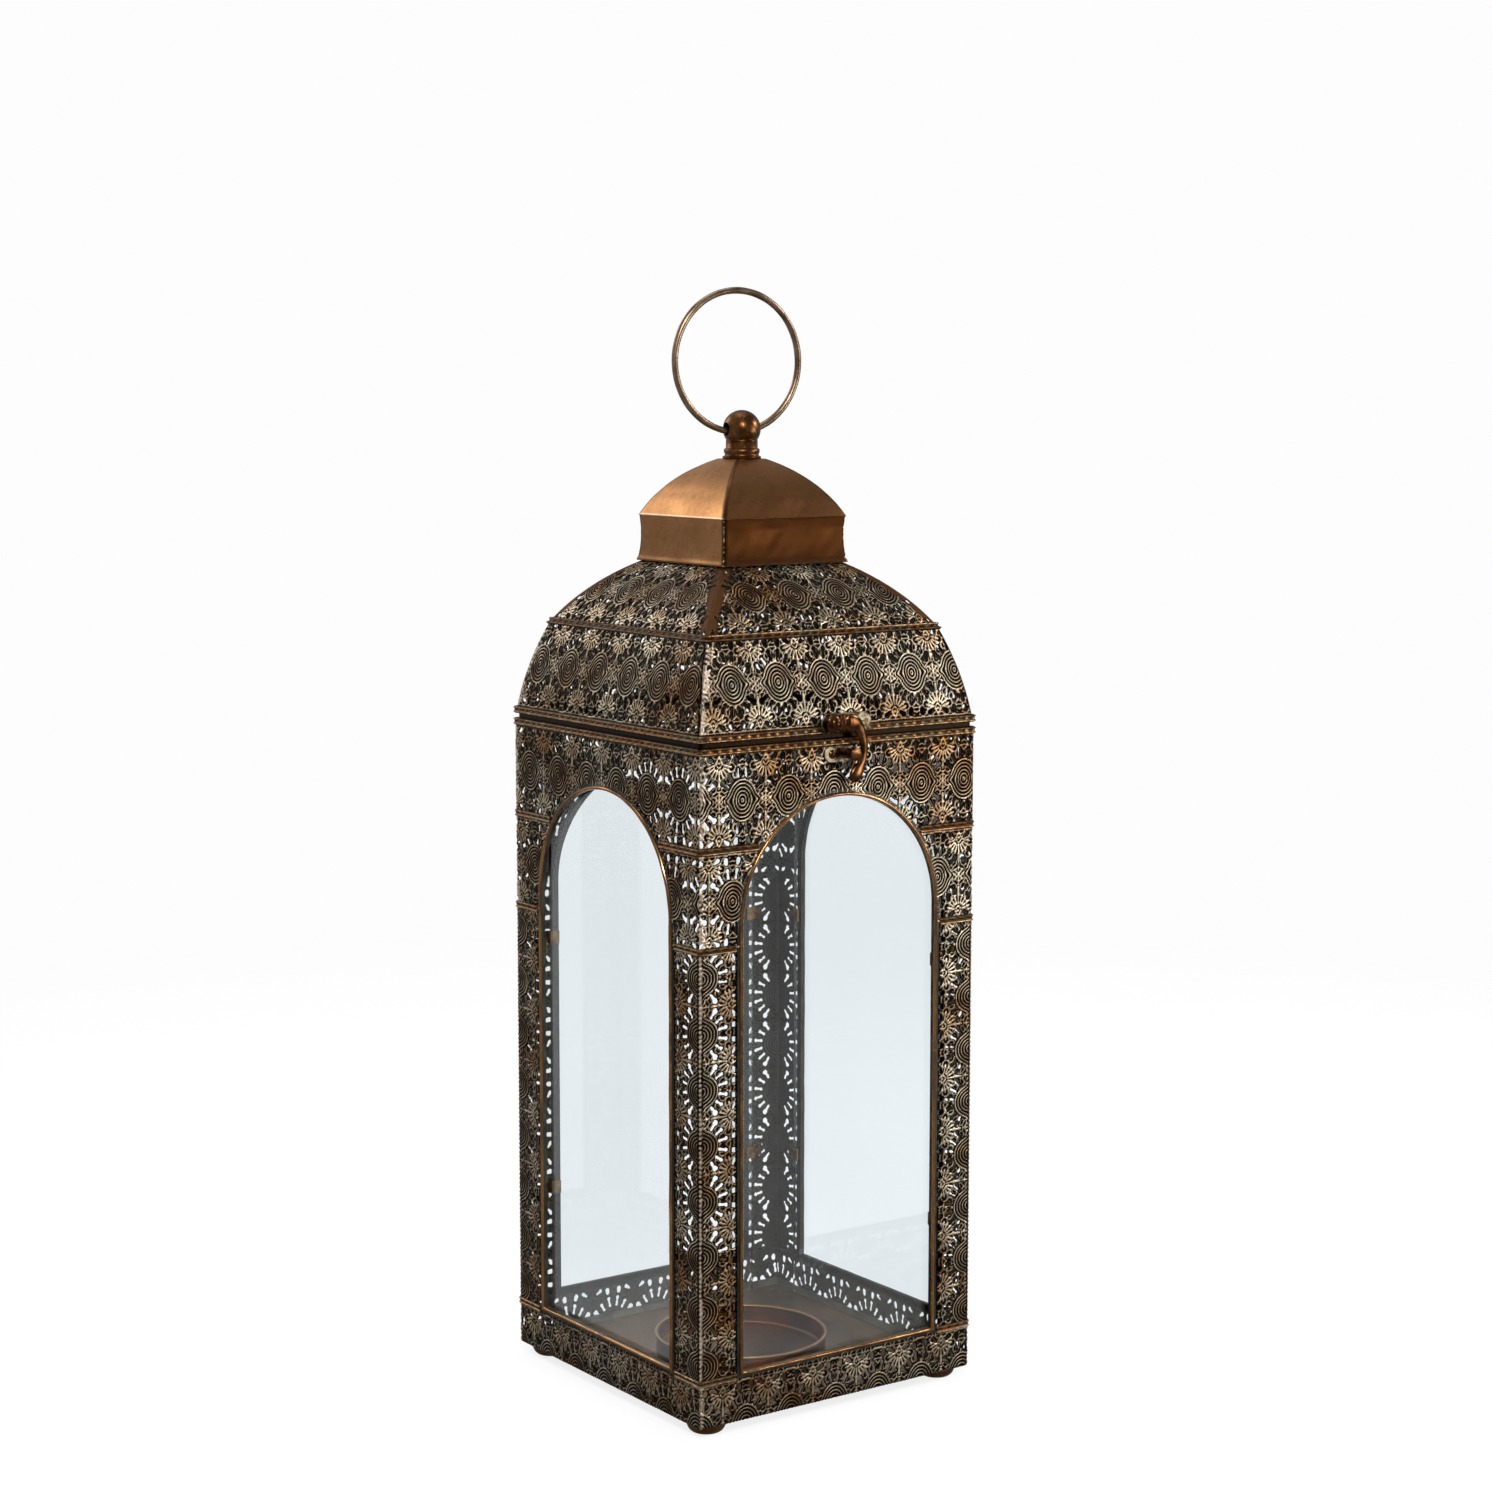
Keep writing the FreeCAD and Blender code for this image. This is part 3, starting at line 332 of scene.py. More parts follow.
def sheet_piece(name, grid, fields, place, nodes, body, sizes, side):
    """A pierced and pressed sheet on a grid of (s, t), turned to its side of the lantern.

    fields gives height, holes, cut and wear from (s, t), and place gives points and normals. Points near the
    edge of a hole move onto it, along the steepest way, and the squares inside holes are left out.
    """
    s, t = grid
    height, holes, cut, wear = fields(s, t)
    gap = np.minimum(holes, cut)
    ds = np.gradient(s, axis=1)
    dt = np.gradient(t, axis=0)
    slope_s, slope_t = np.gradient(gap, axis=1) / ds, np.gradient(gap, axis=0) / dt
    steep = np.maximum(slope_s**2 + slope_t**2, 0.25)
    near = np.abs(gap) < 0.62 * sizes.step
    inner = np.zeros_like(near)
    inner[1:-1, 1:-1] = True
    move = np.where(near & inner, -gap / steep, 0)
    s2 = s + np.clip(move * slope_s, -0.6 * sizes.step, 0.6 * sizes.step)
    t2 = t + np.clip(move * slope_t, -0.6 * sizes.step, 0.6 * sizes.step)
    middle = (gap[:-1, :-1] + gap[1:, :-1] + gap[:-1, 1:] + gap[1:, 1:]) / 4
    faces = grid_faces(*s.shape)[(middle > 0).ravel()]
    points, normals = place(s2, t2)
    # Within half a millimetre of a hole the height falls to -0.45: the sheet dips there, and the pressed mark turns
    # recess black, which is painted shadow at the hole edges.
    rim = np.clip(holes / 0.5, 0, 1)
    height = height * rim - 0.45 * (1 - rim)
    points = points + normals * (height * sizes.relief)[..., None]
    used = np.unique(faces)
    number = np.zeros(s.size, int)
    number[used] = np.arange(len(used))
    marks = {"pressed": height.ravel()[used], "worn": wear.ravel()[used]}
    points = quarter_turns(points, side).reshape(-1, 3)[used]
    piece = make_piece(name, points, number[faces], body,
                       [ribbon_metal(), inside_metal()], nodes, marks=marks)
    shell = piece.modifiers.new("sheet", "SOLIDIFY")
    shell.thickness = sizes.sheet / 1000
    shell.offset = -1
    shell.material_offset = 1
    shell.material_offset_rim = 1
    return piece


def even(first, last, step):
    """Evenly spaced values about a step apart, both ends among them."""
    return np.linspace(first, last, max(2, int(round((last - first) / step)) + 1))


def fold_wear(distance, s, t, width):
    """How far a fold is rubbed bare: a band along it with a ragged edge."""
    ragged = 0.5 + 0.5 * soft_noise(np.stack([s, t, 0 * t], -1), 9.0, 1.0)
    fine = 0.5 + 0.5 * soft_noise(np.stack([s, t, 0 * t], -1), 2.3, 2.0)
    return np.clip(1.3 - np.abs(distance) / (width * (0.35 + 0.9 * ragged)), 0, 1) * (0.25 + 0.75 * fine)


def rubbed_side(height, corner, s, t, wide, narrow):
    """Wear along a fold: wide where s is positive, narrow on the other side, most on the raised lines."""
    width = np.where(s > 0, wide, narrow)
    return fold_wear(corner, s, t, width) * np.clip(0.45 + 0.75 * height, 0.12, 1)


def build_walls(sizes):
    """Base, posts, spandrels and the ribbon over the arches."""
    fold = sizes.fold
    arc = fold * math.pi / 4
    edge = HALF - fold + arc
    far = np.full(1, 1e3)

    def upright_place(s, t):
        """Points of the front wall: x and depth by side_path, t as the height."""
        x, depth, nx, nd = side_path(s, HALF, fold)
        return np.stack([x, -depth, t], -1), np.stack([nx, -nd, 0 * nx], -1)

    # base: t is the height over the fold under the base, negative on the underside
    s, t = np.meshgrid(even(-edge, edge, sizes.step), even(-20.0, Z_POST - Z_BASE - 1.2, sizes.step))

    def base_place(s, t):
        """The upright, then a small fold, then the underside drawn in level towards the middle."""
        r = 1.0
        a = np.clip((r - t) / r, 0, math.pi / 2)
        inward = np.maximum(-t - (math.pi / 2 - 1) * r, 0)
        half = HALF - r + r * np.cos(a) - inward
        x, depth, nx, nd = side_path(np.clip(s / edge, -1, 1) * (half - fold + arc), half, fold)
        z = Z_BASE + r - r * np.sin(a) + np.maximum(t - r, 0)
        return np.stack([x, -depth, z], -1), np.stack([nx * np.cos(a), -nd * np.cos(a), -np.sin(a)], -1)

    for side, name in enumerate(SIDES):
        phase = -51.0 if side % 2 == 0 else 48.0

        def base_fields(s, t, phase=phase):
            height, holes = ribbon(s - phase, t + 1.8, sizes)
            under = np.clip((1.0 - t) / 2, 0, 1)
            cut = np.where(t > 17.6, 1.0, far)
            return height * (1 - 0.75 * under), holes, cut, rubbed_side(height, edge - np.abs(s), -s, t, 2.2, 0.8)
        sheet_piece(f"base_ribbon_{name}", (s, t), base_fields, base_place, ["base_band"], "body", sizes, side)

    # posts: t runs up the corner, s across the fold
    width = WINDOW_HALF + 0.9
    reach = HALF - width - fold + arc
    s, t = np.meshgrid(even(-reach, reach, sizes.step), even(Z_POST - 1.2, Z_SPANDREL, sizes.step))

    def corner_place(s, t):
        """Points round a corner by corner_path, upright."""
        x, depth, nx, nd = corner_path(s, HALF, fold)
        return np.stack([x, -depth, t], -1), np.stack([nx, -nd, 0 * nx], -1)

    def post_fields(s, t):
        height, holes = ribbon(t - 203.4, s, sizes)
        bead = ridge(s, 0.55) * (0.55 + 0.6 * np.cos(2 * math.pi * t / 2.1))
        height = np.where(np.abs(s) < 1.1, np.maximum(height * 0.5, bead), height)
        height = np.where(np.abs(s) > 18.6, height * 0.3, height)
        spots = ridge(s, 0.6) * np.clip(0.1 + np.cos(2 * math.pi * t / 2.1), 0, 1)
        return height, holes, far + 0 * s, np.maximum(spots * 0.8, rubbed_side(height, s, s, t, 1.6, 0.4))
    for side, name in enumerate(CORNERS):
        sheet_piece(f"post_ribbon_{name}", (s, t), post_fields, corner_place, [f"post_{name}"], "body", sizes, side)

    # spandrels: level ribbon round each corner, cut by the arches
    far_side = 39.0
    s, t = np.meshgrid(even(-far_side, far_side, sizes.step), even(Z_SPANDREL, Z_UPPER, sizes.step))

    def spandrel_fields(s, t):
        along = np.where(s < 0, s + 8.2 + 12.2, s - 4.5 - 12.2)
        height, holes = ribbon(along, t - 235.6, sizes)
        x = HALF - np.abs(s) - (fold - arc)
        return height, holes, window_edge(x, t, 0.9), rubbed_side(height, s, s, t, 4.0, 0.6)
    for side, name in enumerate(CORNERS):
        sheet_piece(f"spandrel_ribbon_{name}", (s, t), spandrel_fields, corner_place,
                    [f"spandrel_{name}"], "body", sizes, side)

    # the ribbon over the arches
    s, t = np.meshgrid(even(-edge, edge, sizes.step), even(Z_UPPER, Z_FLANGE, sizes.step))
    for side, name in enumerate(SIDES):
        phase = -52.9 if side % 2 == 0 else 60.0

        def band_fields(s, t, phase=phase):
            height, holes = ribbon(s - phase, t - 278.9, sizes)
            return height, holes, window_edge(s, t, 0.9), rubbed_side(height, edge - np.abs(s), -s, t, 5.0, 0.6)
        sheet_piece(f"upper_ribbon_{name}", (s, t), band_fields, upright_place,
                    ["upper_band"], "body", sizes, side)


def arc_profile(start, end, bulge):
    """An arc from start to end, (half, z) pairs, that stands out by bulge over its chord.

    It returns the arc's length and a function from the way along it to half, z and the normal.
    """
    start, end = np.array(start, float), np.array(end, float)
    chord = np.linalg.norm(end - start)
    radius = chord**2 / (8 * bulge) + bulge / 2
    out = np.array([end[1] - start[1], start[0] - end[0]]) / chord
    centre = (start + end) / 2 - out * (radius - bulge)
    first = math.atan2(start[1] - centre[1], start[0] - centre[0])
    last = math.atan2(end[1] - centre[1], end[0] - centre[0])
    length = abs(radius * (last - first))

    def at(way):
        angle = first + (last - first) * way / length
        return (centre[0] + radius * np.cos(angle), centre[1] + radius * np.sin(angle),
                np.cos(angle), np.sin(angle))
    return length, at


def build_dome(sizes):
    """Two rows of four pressed panels that meet at mitred, folded corners."""
    rows = (
        ("dome_lower", (HALF - 0.5, Z_DOME), (MIDDLE_HALF, Z_MIDDLE), 1.3, (-55.0, 61.8), 5.5),
        ("dome_upper", (MIDDLE_HALF, Z_MIDDLE), (CAP_HALF - 1.85, Z_COLLAR), 2.6, (-31.3, 56.0), 2.2),
    )
    fold = sizes.fold
    arc = fold * math.pi / 4
    for row, start, end, bulge, phases, rubbed in rows:
        length, at = arc_profile(start, end, bulge)
        columns = even(-1, 1, 2 * sizes.step / (2 * start[0]))
        w, t = np.meshgrid(columns, even(0, length, sizes.step))
        half_grid = at(t)[0]
        s = w * (half_grid - fold + arc)

        def place(s, t, at=at):
            """Points of a panel: the side path of the square at that height, tilted by the arc's normal."""
            half, z, out, up = at(t)
            x, depth, nx, nd = side_path(s, half, fold)
            return np.stack([x, -depth, z], -1), np.stack([nx * out, -nd * out, up + 0 * nx], -1)

        for side, name in enumerate(SIDES):
            phase = phases[side % 2]

            def fields(s, t, phase=phase, length=length, at=at, rubbed=rubbed, row=row):
                height, holes = ribbon(s - phase, t - length / 2, sizes)
                corner = at(t)[0] - fold + arc - np.abs(s)
                plain = 4.0 if row == "dome_upper" else 0.8
                height = height * np.clip((corner - plain + 0.6) / 1.2, 0.12, 1)
                holes = np.maximum(holes, 1.5 - corner)
                wear = rubbed_side(height, corner, -s, t, rubbed, 0.7)
                if row == "dome_upper":
                    wear = wear * 0.2 - np.clip((plain + 1.2 - corner) / 1.8, 0, 1)
                return height, holes, 1e3 + 0 * s, wear
            sheet_piece(f"{row}_ribbon_{name}", (s, t), fields, place, [f"{row}_{name}"], "lid", sizes, side)


# ---- strips and trims ------------------------------------------------------------------------------
def square_loop(profile, fold, dashes=None, step=0.8):
    """A closed profile of (half, z) pairs carried round a square with rounded corners.

    dashes gives, for each profile point, how far it moves outwards with the way round. It returns the
    points, the faces and how raised each point is, which the strip's metal reads.
    """
    profile = np.asarray(profile, float)
    w = np.linspace(-1, 1, int(2 * HALF / step) + 1)[:-1]
    half = profile[:, :1]
    fold = np.minimum(fold, half * 0.5)
    s = w * (half - fold + fold * math.pi / 4)
    more = 0 if dashes is None else dashes(s)
    sides = []
    for side in range(4):
        x, depth, nx, nd = side_path(s, half, fold)
        points = np.stack([x + nx * more, -(depth + nd * more), profile[:, 1:] + 0 * s], -1)
        sides.append(quarter_turns(points, side))
    points = np.concatenate(sides, axis=1)
    raised = strip_raised(profile[:, :1]) + 0 * points[..., 0]
    if dashes is not None:
        raised = raised + np.concatenate([more + 0 * s] * 4, axis=1) * 3
    faces = grid_faces(len(profile), points.shape[1], close_rows=True, close_columns=True)
    return points.reshape(-1, 3), faces, raised


def strip_raised(out):
    """How raised each point of a strip is: 1 on the beads, 0 in the groove and on the hidden back."""
    return np.clip(1 - (out.max() - out) / 0.55, -0.6, 1)


def strip_profile(low, high, out, back):
    """The outer face of a moulded strip from low to high: a bead at each edge and a groove between."""
    t = np.linspace(0, 1, 13)
    beads = 0.32 + 0.68 * (ridge(t - 0.2, 0.13) + ridge(t - 0.8, 0.13))
    face = np.stack([back + (out - back) * np.minimum(beads, 1), low + (high - low) * t], -1)
    face[0, 0] = face[-1, 0] = back + 0.25 * (out - back)
    return face


def build_strips(sizes):
    """Moulded strips over the joins, and the rims of the body and the lid."""
    fold, brass = sizes.fold, [strip_metal()]

    def dashes(middle):
        """Short raised bars in the strip's groove, one every 5 mm."""
        def move(s):
            bars = 0.28 * np.clip(np.cos(2 * math.pi * s / 5.0) * 3, 0, 1) + 0.05 * np.sin(s * 1.9)
            return np.where(middle, bars, 0.0)
        return move

    outer = strip_profile(Z_BODY_TOP - 3.4, Z_BODY_TOP, FACE, HALF)
    profile = np.vstack([outer, [[HALF - 3.5, Z_BODY_TOP], [HALF - 3.5, Z_FLANGE], [HALF, Z_FLANGE],
                                 [HALF, Z_BODY_TOP - 3.4]]])
    middle = np.zeros((len(profile), 1), bool)
    middle[5:8] = True
    points, faces, raised = square_loop(profile, fold, dashes(middle))
    make_piece("body_rim_strip", points, faces, "body", brass, ["body_rim"], 40, {"pressed": raised})

    outer = strip_profile(Z_LID, Z_DOME, FACE, HALF)
    skirt = HALF - 1.0
    profile = np.vstack([outer, [[skirt - 0.8, Z_DOME], [skirt - 0.8, Z_BODY_TOP], [skirt, Z_BODY_TOP],
                                 [skirt, Z_DOME - 0.8], [HALF, Z_DOME - 0.8], [HALF, Z_LID]]])
    middle = np.zeros((len(profile), 1), bool)
    middle[5:8] = True
    points, faces, raised = square_loop(profile, fold, dashes(middle))
    make_piece("lid_rim_strip", points, faces, "lid", brass, ["lid_rim"], 40, {"pressed": raised})

    slope = math.radians(27)
    t = np.linspace(-1.7, 1.7, 13)
    rise = 0.12 + 0.35 + 0.65 * (ridge(t - 1.05, 0.42) + ridge(t + 1.05, 0.42))
    rise[0] = rise[-1] = 0.12
    t, rise = np.append(t, [1.7, -1.7]), np.append(rise, [0.0, 0.0])
    profile = np.stack([MIDDLE_HALF - t * math.sin(slope) + rise * math.cos(slope),
                        Z_MIDDLE + t * math.cos(slope) + rise * math.sin(slope)], -1)
    middle = np.zeros((len(profile), 1), bool)
    middle[5:8] = True
    points, faces, raised = square_loop(profile, fold, dashes(middle))
    raised = np.clip(1 - (rise.max() - rise[:, None]) / 0.5, -0.6, 1) + 0 * raised
    make_piece("dome_join_strip", points, faces, "lid", brass, ["dome_strip"], 40, {"pressed": raised})

    for node, z, low in (("base_strips", Z_POST - 1.2, 1.7), ("post_strips", Z_SPANDREL, 1.7),
                         ("spandrel_strips", Z_UPPER, 1.7)):
        arch = max(z - Z_SPRING, 0)
        gap = math.sqrt((WINDOW_HALF + 3.1) ** 2 - arch**2)
        reach = HALF - gap - fold + fold * math.pi / 4
        outer = strip_profile(z - low, z + low, FACE - HALF, 0.0)
        profile = np.vstack([outer, [[0.02, z + low], [0.02, z - low]]])
        s = np.linspace(-reach, reach, int(2 * reach / 0.6) + 1)
        bars = 0.28 * np.clip(np.cos(2 * math.pi * s / 5.0) * 3, 0, 1)
        lift = profile[:, :1] + np.where(np.arange(len(profile))[:, None] // 3 == 2, bars, 0)
        lift = lift * np.clip((reach - np.abs(s)) / 0.6 + 0.2, 0, 1)
        x, depth, nx, nd = corner_path(s + 0 * lift, HALF, fold)
        one = np.stack([x + nx * lift, -(depth + nd * lift), profile[:, 1:] + 0 * s], -1)
        ring_faces = grid_faces(len(profile), len(s), close_rows=True)
        rows = np.arange(len(profile)) * len(s)
        caps = [rows[None, :], (rows + len(s) - 1)[None, ::-1]]
        points = np.concatenate([quarter_turns(one, k).reshape(-1, 3) for k in range(4)])
        faces = [np.concatenate([ring_faces + k * one[..., 0].size for k in range(4)])]
        faces += [cap + k * one[..., 0].size for k in range(4) for cap in caps]
        raised = np.concatenate([strip_raised(lift).ravel()] * 4)
        make_piece(node.replace("strips", "join_strips"), points, faces, "body", brass, [node], 40,
                   {"pressed": raised})


def build_trims(sizes):
    """The bead round each window: a half-round profile carried along sill, jambs and arch."""
    jamb = np.linspace(WINDOW_SILL, Z_SPRING, 60)
    arch = np.linspace(0, math.pi, 90)[1:-1]
    x = np.concatenate([WINDOW_HALF + 0 * jamb, WINDOW_HALF * np.cos(arch), -WINDOW_HALF + 0 * jamb,
                        np.linspace(-WINDOW_HALF, WINDOW_HALF, 50)[1:-1]])
    z = np.concatenate([jamb, Z_SPRING + WINDOW_HALF * np.sin(arch), jamb[::-1], np.full(48, WINDOW_SILL)])
    nx = np.concatenate([1 + 0 * jamb, np.cos(arch), -1 + 0 * jamb, np.zeros(48)])
    nz = np.concatenate([0 * jamb, np.sin(arch), 0 * jamb, -np.ones(48)])
    corners = [0, len(jamb) * 2 + len(arch) - 1]
    nz[corners] = -1
    e = np.linspace(0, 1.7, 9)
    bead = HALF + 0.3 + (TRIM_OUT - HALF - 0.3) * np.sqrt(np.clip(1 - ((e - 0.85) / 0.85) ** 2, 0, 1))
    profile = np.vstack([np.stack([e, bead], -1), [[2.95, HALF + 0.25], [3.0, HALF + 0.02], [0.9, HALF + 0.02],
                                                  [0.9, HALF - 0.82], [3.0, HALF - 0.82], [3.0, TRIM_IN],
                                                  [0.0, TRIM_IN]]])
    wobble = 0.06 * np.sin(np.arange(len(x)) * 0.9) + 0.05 * np.sin(np.arange(len(x)) * 0.37)
    out, depth = profile[:, :1], profile[:, 1:]
    depth = depth + np.where(depth > HALF + 0.3, wobble, 0)
    points = np.stack([x + nx * out, -depth, z + nz * out], -1)
    faces = grid_faces(len(profile), len(x), close_rows=True, close_columns=True)[:, ::-1]
    which = np.repeat(np.arange(len(profile)) > 7, len(x))
    for side, name in enumerate(SIDES):
        make_piece(f"window_bead_{name}", quarter_turns(points, side).reshape(-1, 3), faces, "body",
                   [trim_metal(), flange_metal()], [f"window_trim_{name}"], 50, which=which)


# ---- cap, finial and ring --------------------------------------------------------------------------
def build_cap(sizes):
    """The plain cap: a waisted collar and a four-sided dome, each a profile round a square with soft dents."""
    fold = 0.9
    shoulder = CAP_HALF - 0.6
    t = np.linspace(0, 1, 28)
    collar = np.stack([CAP_HALF - 0.6 * t - 0.8 * 4 * t * (1 - t), Z_COLLAR + (Z_CAP - Z_COLLAR) * t], -1)
    collar[:3, 0] += np.array([0.35, 0.3, 0.1])
    length, at = arc_profile((shoulder, Z_CAP), (8.0, Z_TOP), 3.1)
    way = np.linspace(0, length, 40)
    half, z = at(way)[:2]
    roof = np.stack([half, z], -1)
    roof = np.vstack([[[shoulder + 0.12, Z_CAP - 0.0]], roof, [[5.0, Z_TOP]], [[2.6, Z_TOP]]])
    for name, profile, node in (("cap_collar_sheet", collar, "cap_collar"), ("cap_dome_sheet", roof, "cap_dome")):
        w = np.linspace(-1, 1, 61)[:-1]
        half = profile[:, :1]
        s = w * (half - fold + fold * math.pi / 4)
        sides = []
        for side in range(4):
            x, depth, nx, nd = side_path(s, half, np.minimum(fold, half * 0.5))
            sides.append(quarter_turns(np.stack([x, -depth, profile[:, 1:] + 0 * s], -1), side))
        points = np.concatenate(sides, axis=1)
        rows, columns = points.shape[:2]
        dent = 0.16 * soft_noise(points, 26.0, 0.4) + 0.05 * soft_noise(points, 9.0, 1.9)
        calm = np.clip(np.minimum(np.arange(rows), rows - 1 - np.arange(rows)) / 6, 0, 1)[:, None]
        flat = points * np.array([1, 1, 0])
        flat = flat / np.maximum(np.linalg.norm(flat, axis=-1, keepdims=True), 1)
        points = points + flat * (dent * calm)[..., None]
        corner = np.minimum(np.abs(np.abs(w) - 1), 1)[None, :] * half
        corner = np.concatenate([corner] * 4, axis=1)
        grid = np.broadcast_to(np.arange(columns) * 1.0, (rows, columns))
        up = (points[..., 2] - profile[0, 1]) / (profile[:, 1].max() - profile[0, 1])
        chips = 1.0 if node == "cap_collar" else np.clip(1 - up / 0.12, 0, 1)
        rub = fold_wear(corner, grid * 1.8, points[..., 2] * 1.0, 0.7) * chips
        low = np.clip(1 - (points[..., 2] - profile[0, 1]) / 0.9, 0, 1) * (0.62 if node == "cap_collar" else 0.72)
        seam = ridge(corner - 0.4, 1.3) * (0.95 if node == "cap_collar" else 0.75)
        # painted shade: the front and right faces are marked dark, the roof more towards its bottom, and the left and
        # back collar darker towards its bottom; the pale bottom edge of the roof is also weakened on the front and
        # right
        facing = np.concatenate([np.full(len(w), v) for v in (1.0, 1.0, 0.0, 0.0)])[None, :]
        painted_shade = facing * (1.0 if node == "cap_collar" else 0.5 + 0.35 * np.clip(1 - up, 0, 1)) + (1 - facing) * (0.5 - 0.16 * up) * (node == "cap_collar")
        low = low * (1 - 0.6 * facing * (node != "cap_collar"))
        piece = make_piece(name, points, grid_faces(rows, columns, close_columns=True), "lid",
                           [cap_metal(), cap_inside()], [node], 30,
                           marks={"worn": np.maximum(rub, low), "seam": seam + 0 * points[..., 2], "painted_shade": painted_shade})
        shell = piece.modifiers.new("sheet", "SOLIDIFY")
        shell.thickness = 0.0007
        shell.offset = -1
        shell.material_offset = 1
        shell.material_offset_rim = 0


def smoothed_copy(node, name, body, materials, sharp, width=0.0):
    """The frame node's own shape with its points merged, smooth over gentle edges, and softened edges."""
    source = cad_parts[node].data
    mesh = source.copy()
    mesh.name = name
    piece = bpy.data.objects.new(name, mesh)
    bpy.context.scene.collection.objects.link(piece)
    mesh.materials.clear()
    for material in materials:
        mesh.materials.append(material)
    merge_points(mesh)
    mesh.polygons.foreach_set("use_smooth", np.ones(len(mesh.polygons), bool))
    mesh.polygons.foreach_set("material_index", np.zeros(len(mesh.polygons), np.int32))
    mesh.set_sharp_from_angle(angle=math.radians(sharp))
    if width:
        bevel = piece.modifiers.new("soft edges", "BEVEL")
        bevel.width = width / 1000
        bevel.segments = 2
        bevel.angle_limit = math.radians(sharp)
    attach(piece, body)
    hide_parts(node)
    return piece


def merge_points(mesh):
    """Joins points that lie within a thousandth of a millimetre of each other."""
    work = bmesh.new()
    work.from_mesh(mesh)
    bmesh.ops.remove_doubles(work, verts=work.verts, dist=1e-6)
    bmesh.ops.dissolve_degenerate(work, edges=work.edges, dist=1e-7)
    bmesh.ops.delete(work, geom=[edge for edge in work.edges if not edge.link_faces], context="EDGES")
    work.to_mesh(mesh)
    work.free()
    mesh.update()


def build_finial(sizes):
    """The turned finial with its cross hole, and the drawn wire ring: a circle of wire swept round."""
    smoothed_copy("finial", "finial_turned", "lid", [cast_metal()], 32)
    low, high = span("ring")
    turn, lean, wire = math.radians(-6.5), math.radians(4.4), 1.5
    radius = 31.5
    centre = np.array([(low[0] + high[0]) / 2, (low[1] + high[1]) / 2, (low[2] + high[2]) / 2])
    a = np.linspace(0, 2 * math.pi, 240, endpoint=False)[:, None]
    b = np.linspace(0, 2 * math.pi, 20, endpoint=False)
    out = np.stack([np.cos(a), 0 * a, np.sin(a)], -1)
    thick = wire * (1 + 0.025 * np.sin(5 * a + 1) + 0.015 * np.sin(17 * a))
    place = out * (radius + (thick * np.cos(b))[..., None]) + np.array([0, 1, 0]) * (thick * np.sin(b))[..., None]
    turned = np.stack([place[..., 0] * math.cos(turn) - place[..., 1] * math.sin(turn),
                       place[..., 0] * math.sin(turn) + place[..., 1] * math.cos(turn), place[..., 2]], -1)
    faces = grid_faces(240, 20, close_rows=True, close_columns=True)
    make_piece("carrying_ring", (turned + centre).reshape(-1, 3), faces, "ring", [wire_metal()], ["ring"])


# ---- latch -----------------------------------------------------------------------------------------
def build_latch(sizes):
    """The cast hook: an oval section swept along its bent line, swelling at the rings, boss and tip."""
    pivot_x, pivot_z = -6.7, Z_LID + 4.6
    low, high = span("latch_hook")
    middle_y = high[1] - 1.75
    line = [
        (-11.0, 0.0, 0.6), (-10.4, 0.0, 2.6), (-9.0, 0.0, 3.7), (-7.0, 0.0, 4.0), (-5.2, 0.0, 3.6), (-4.4, 0.0, 2.5),
        (-3.6, 0.0, 4.05), (-2.8, 0.0, 2.6), (-2.7, 0.0, 2.6), (-1.9, 0.0, 4.05), (-1.1, 0.0, 2.5), (-0.5, 0.0, 2.9),
        (0.8, 0.0, 4.0), (2.6, -0.1, 4.05), (4.6, -0.7, 3.6), (6.4, -2.2, 2.9), (7.9, -4.4, 2.4), (8.9, -7.2, 2.1),
        (9.5, -10.2, 1.95), (9.6, -13.2, 1.9), (9.0, -16.2, 1.95), (7.7, -19.0, 2.3), (6.3, -21.2, 3.0),
        (5.0, -23.2, 3.2), (3.9, -24.7, 2.6), (3.2, -25.7, 1.4), (2.9, -26.1, 0.3),
    ]
    path = smooth_curve(line, 190)
    ahead = np.gradient(path[:, :2], axis=0)
    ahead /= np.linalg.norm(ahead, axis=1, keepdims=True)
    side = np.stack([-ahead[:, 1], ahead[:, 0]], -1)
    b = np.linspace(0, 2 * math.pi, 28, endpoint=False)
    radius = np.maximum(path[:, 2:], 0.15)
    thick = 1.72 * np.clip(radius / 4.05, 0.05, 1) ** 0.85
    across = radius * np.sign(np.cos(b)) * np.abs(np.cos(b)) ** 0.85
    depth = thick * np.sign(np.sin(b)) * np.abs(np.sin(b)) ** 0.85
    points = np.stack([path[:, :1] + side[:, :1] * across, middle_y - depth,
                       pivot_z + path[:, 1:2] + side[:, 1:] * across], -1)
    rows, columns = points.shape[:2]
    first, last = points[0].mean(0), points[-1].mean(0)
    flat = np.vstack([points.reshape(-1, 3), first, last])
    ring = np.arange(columns)
    caps = [np.stack([np.roll(ring, -1), ring, np.full(columns, rows * columns)], -1),
            np.stack([ring, np.roll(ring, -1), np.full(columns, rows * columns + 1 - columns * (rows - 1))], -1)
            + columns * (rows - 1)]
    make_piece("hook_casting", flat, [grid_faces(rows, columns, close_columns=True), *caps], "latch_hook",
               [hook_metal()], ["latch_hook"])
    for node, body, material, width in (("latch_plate", "lid", plate_metal(), 0.25),
                                        ("catch_plate", "body", plate_metal(), 0.25),
                                        ("catch_stud", "body", hook_metal(), 0.35),
                                        ("latch_pivot", "lid", hook_metal(), 0.0),
                                        ("catch_rivet", "body", hook_metal(), 0.0)):
        smoothed_copy(node, f"{node}_cast", body,
                      [material], 35, width)


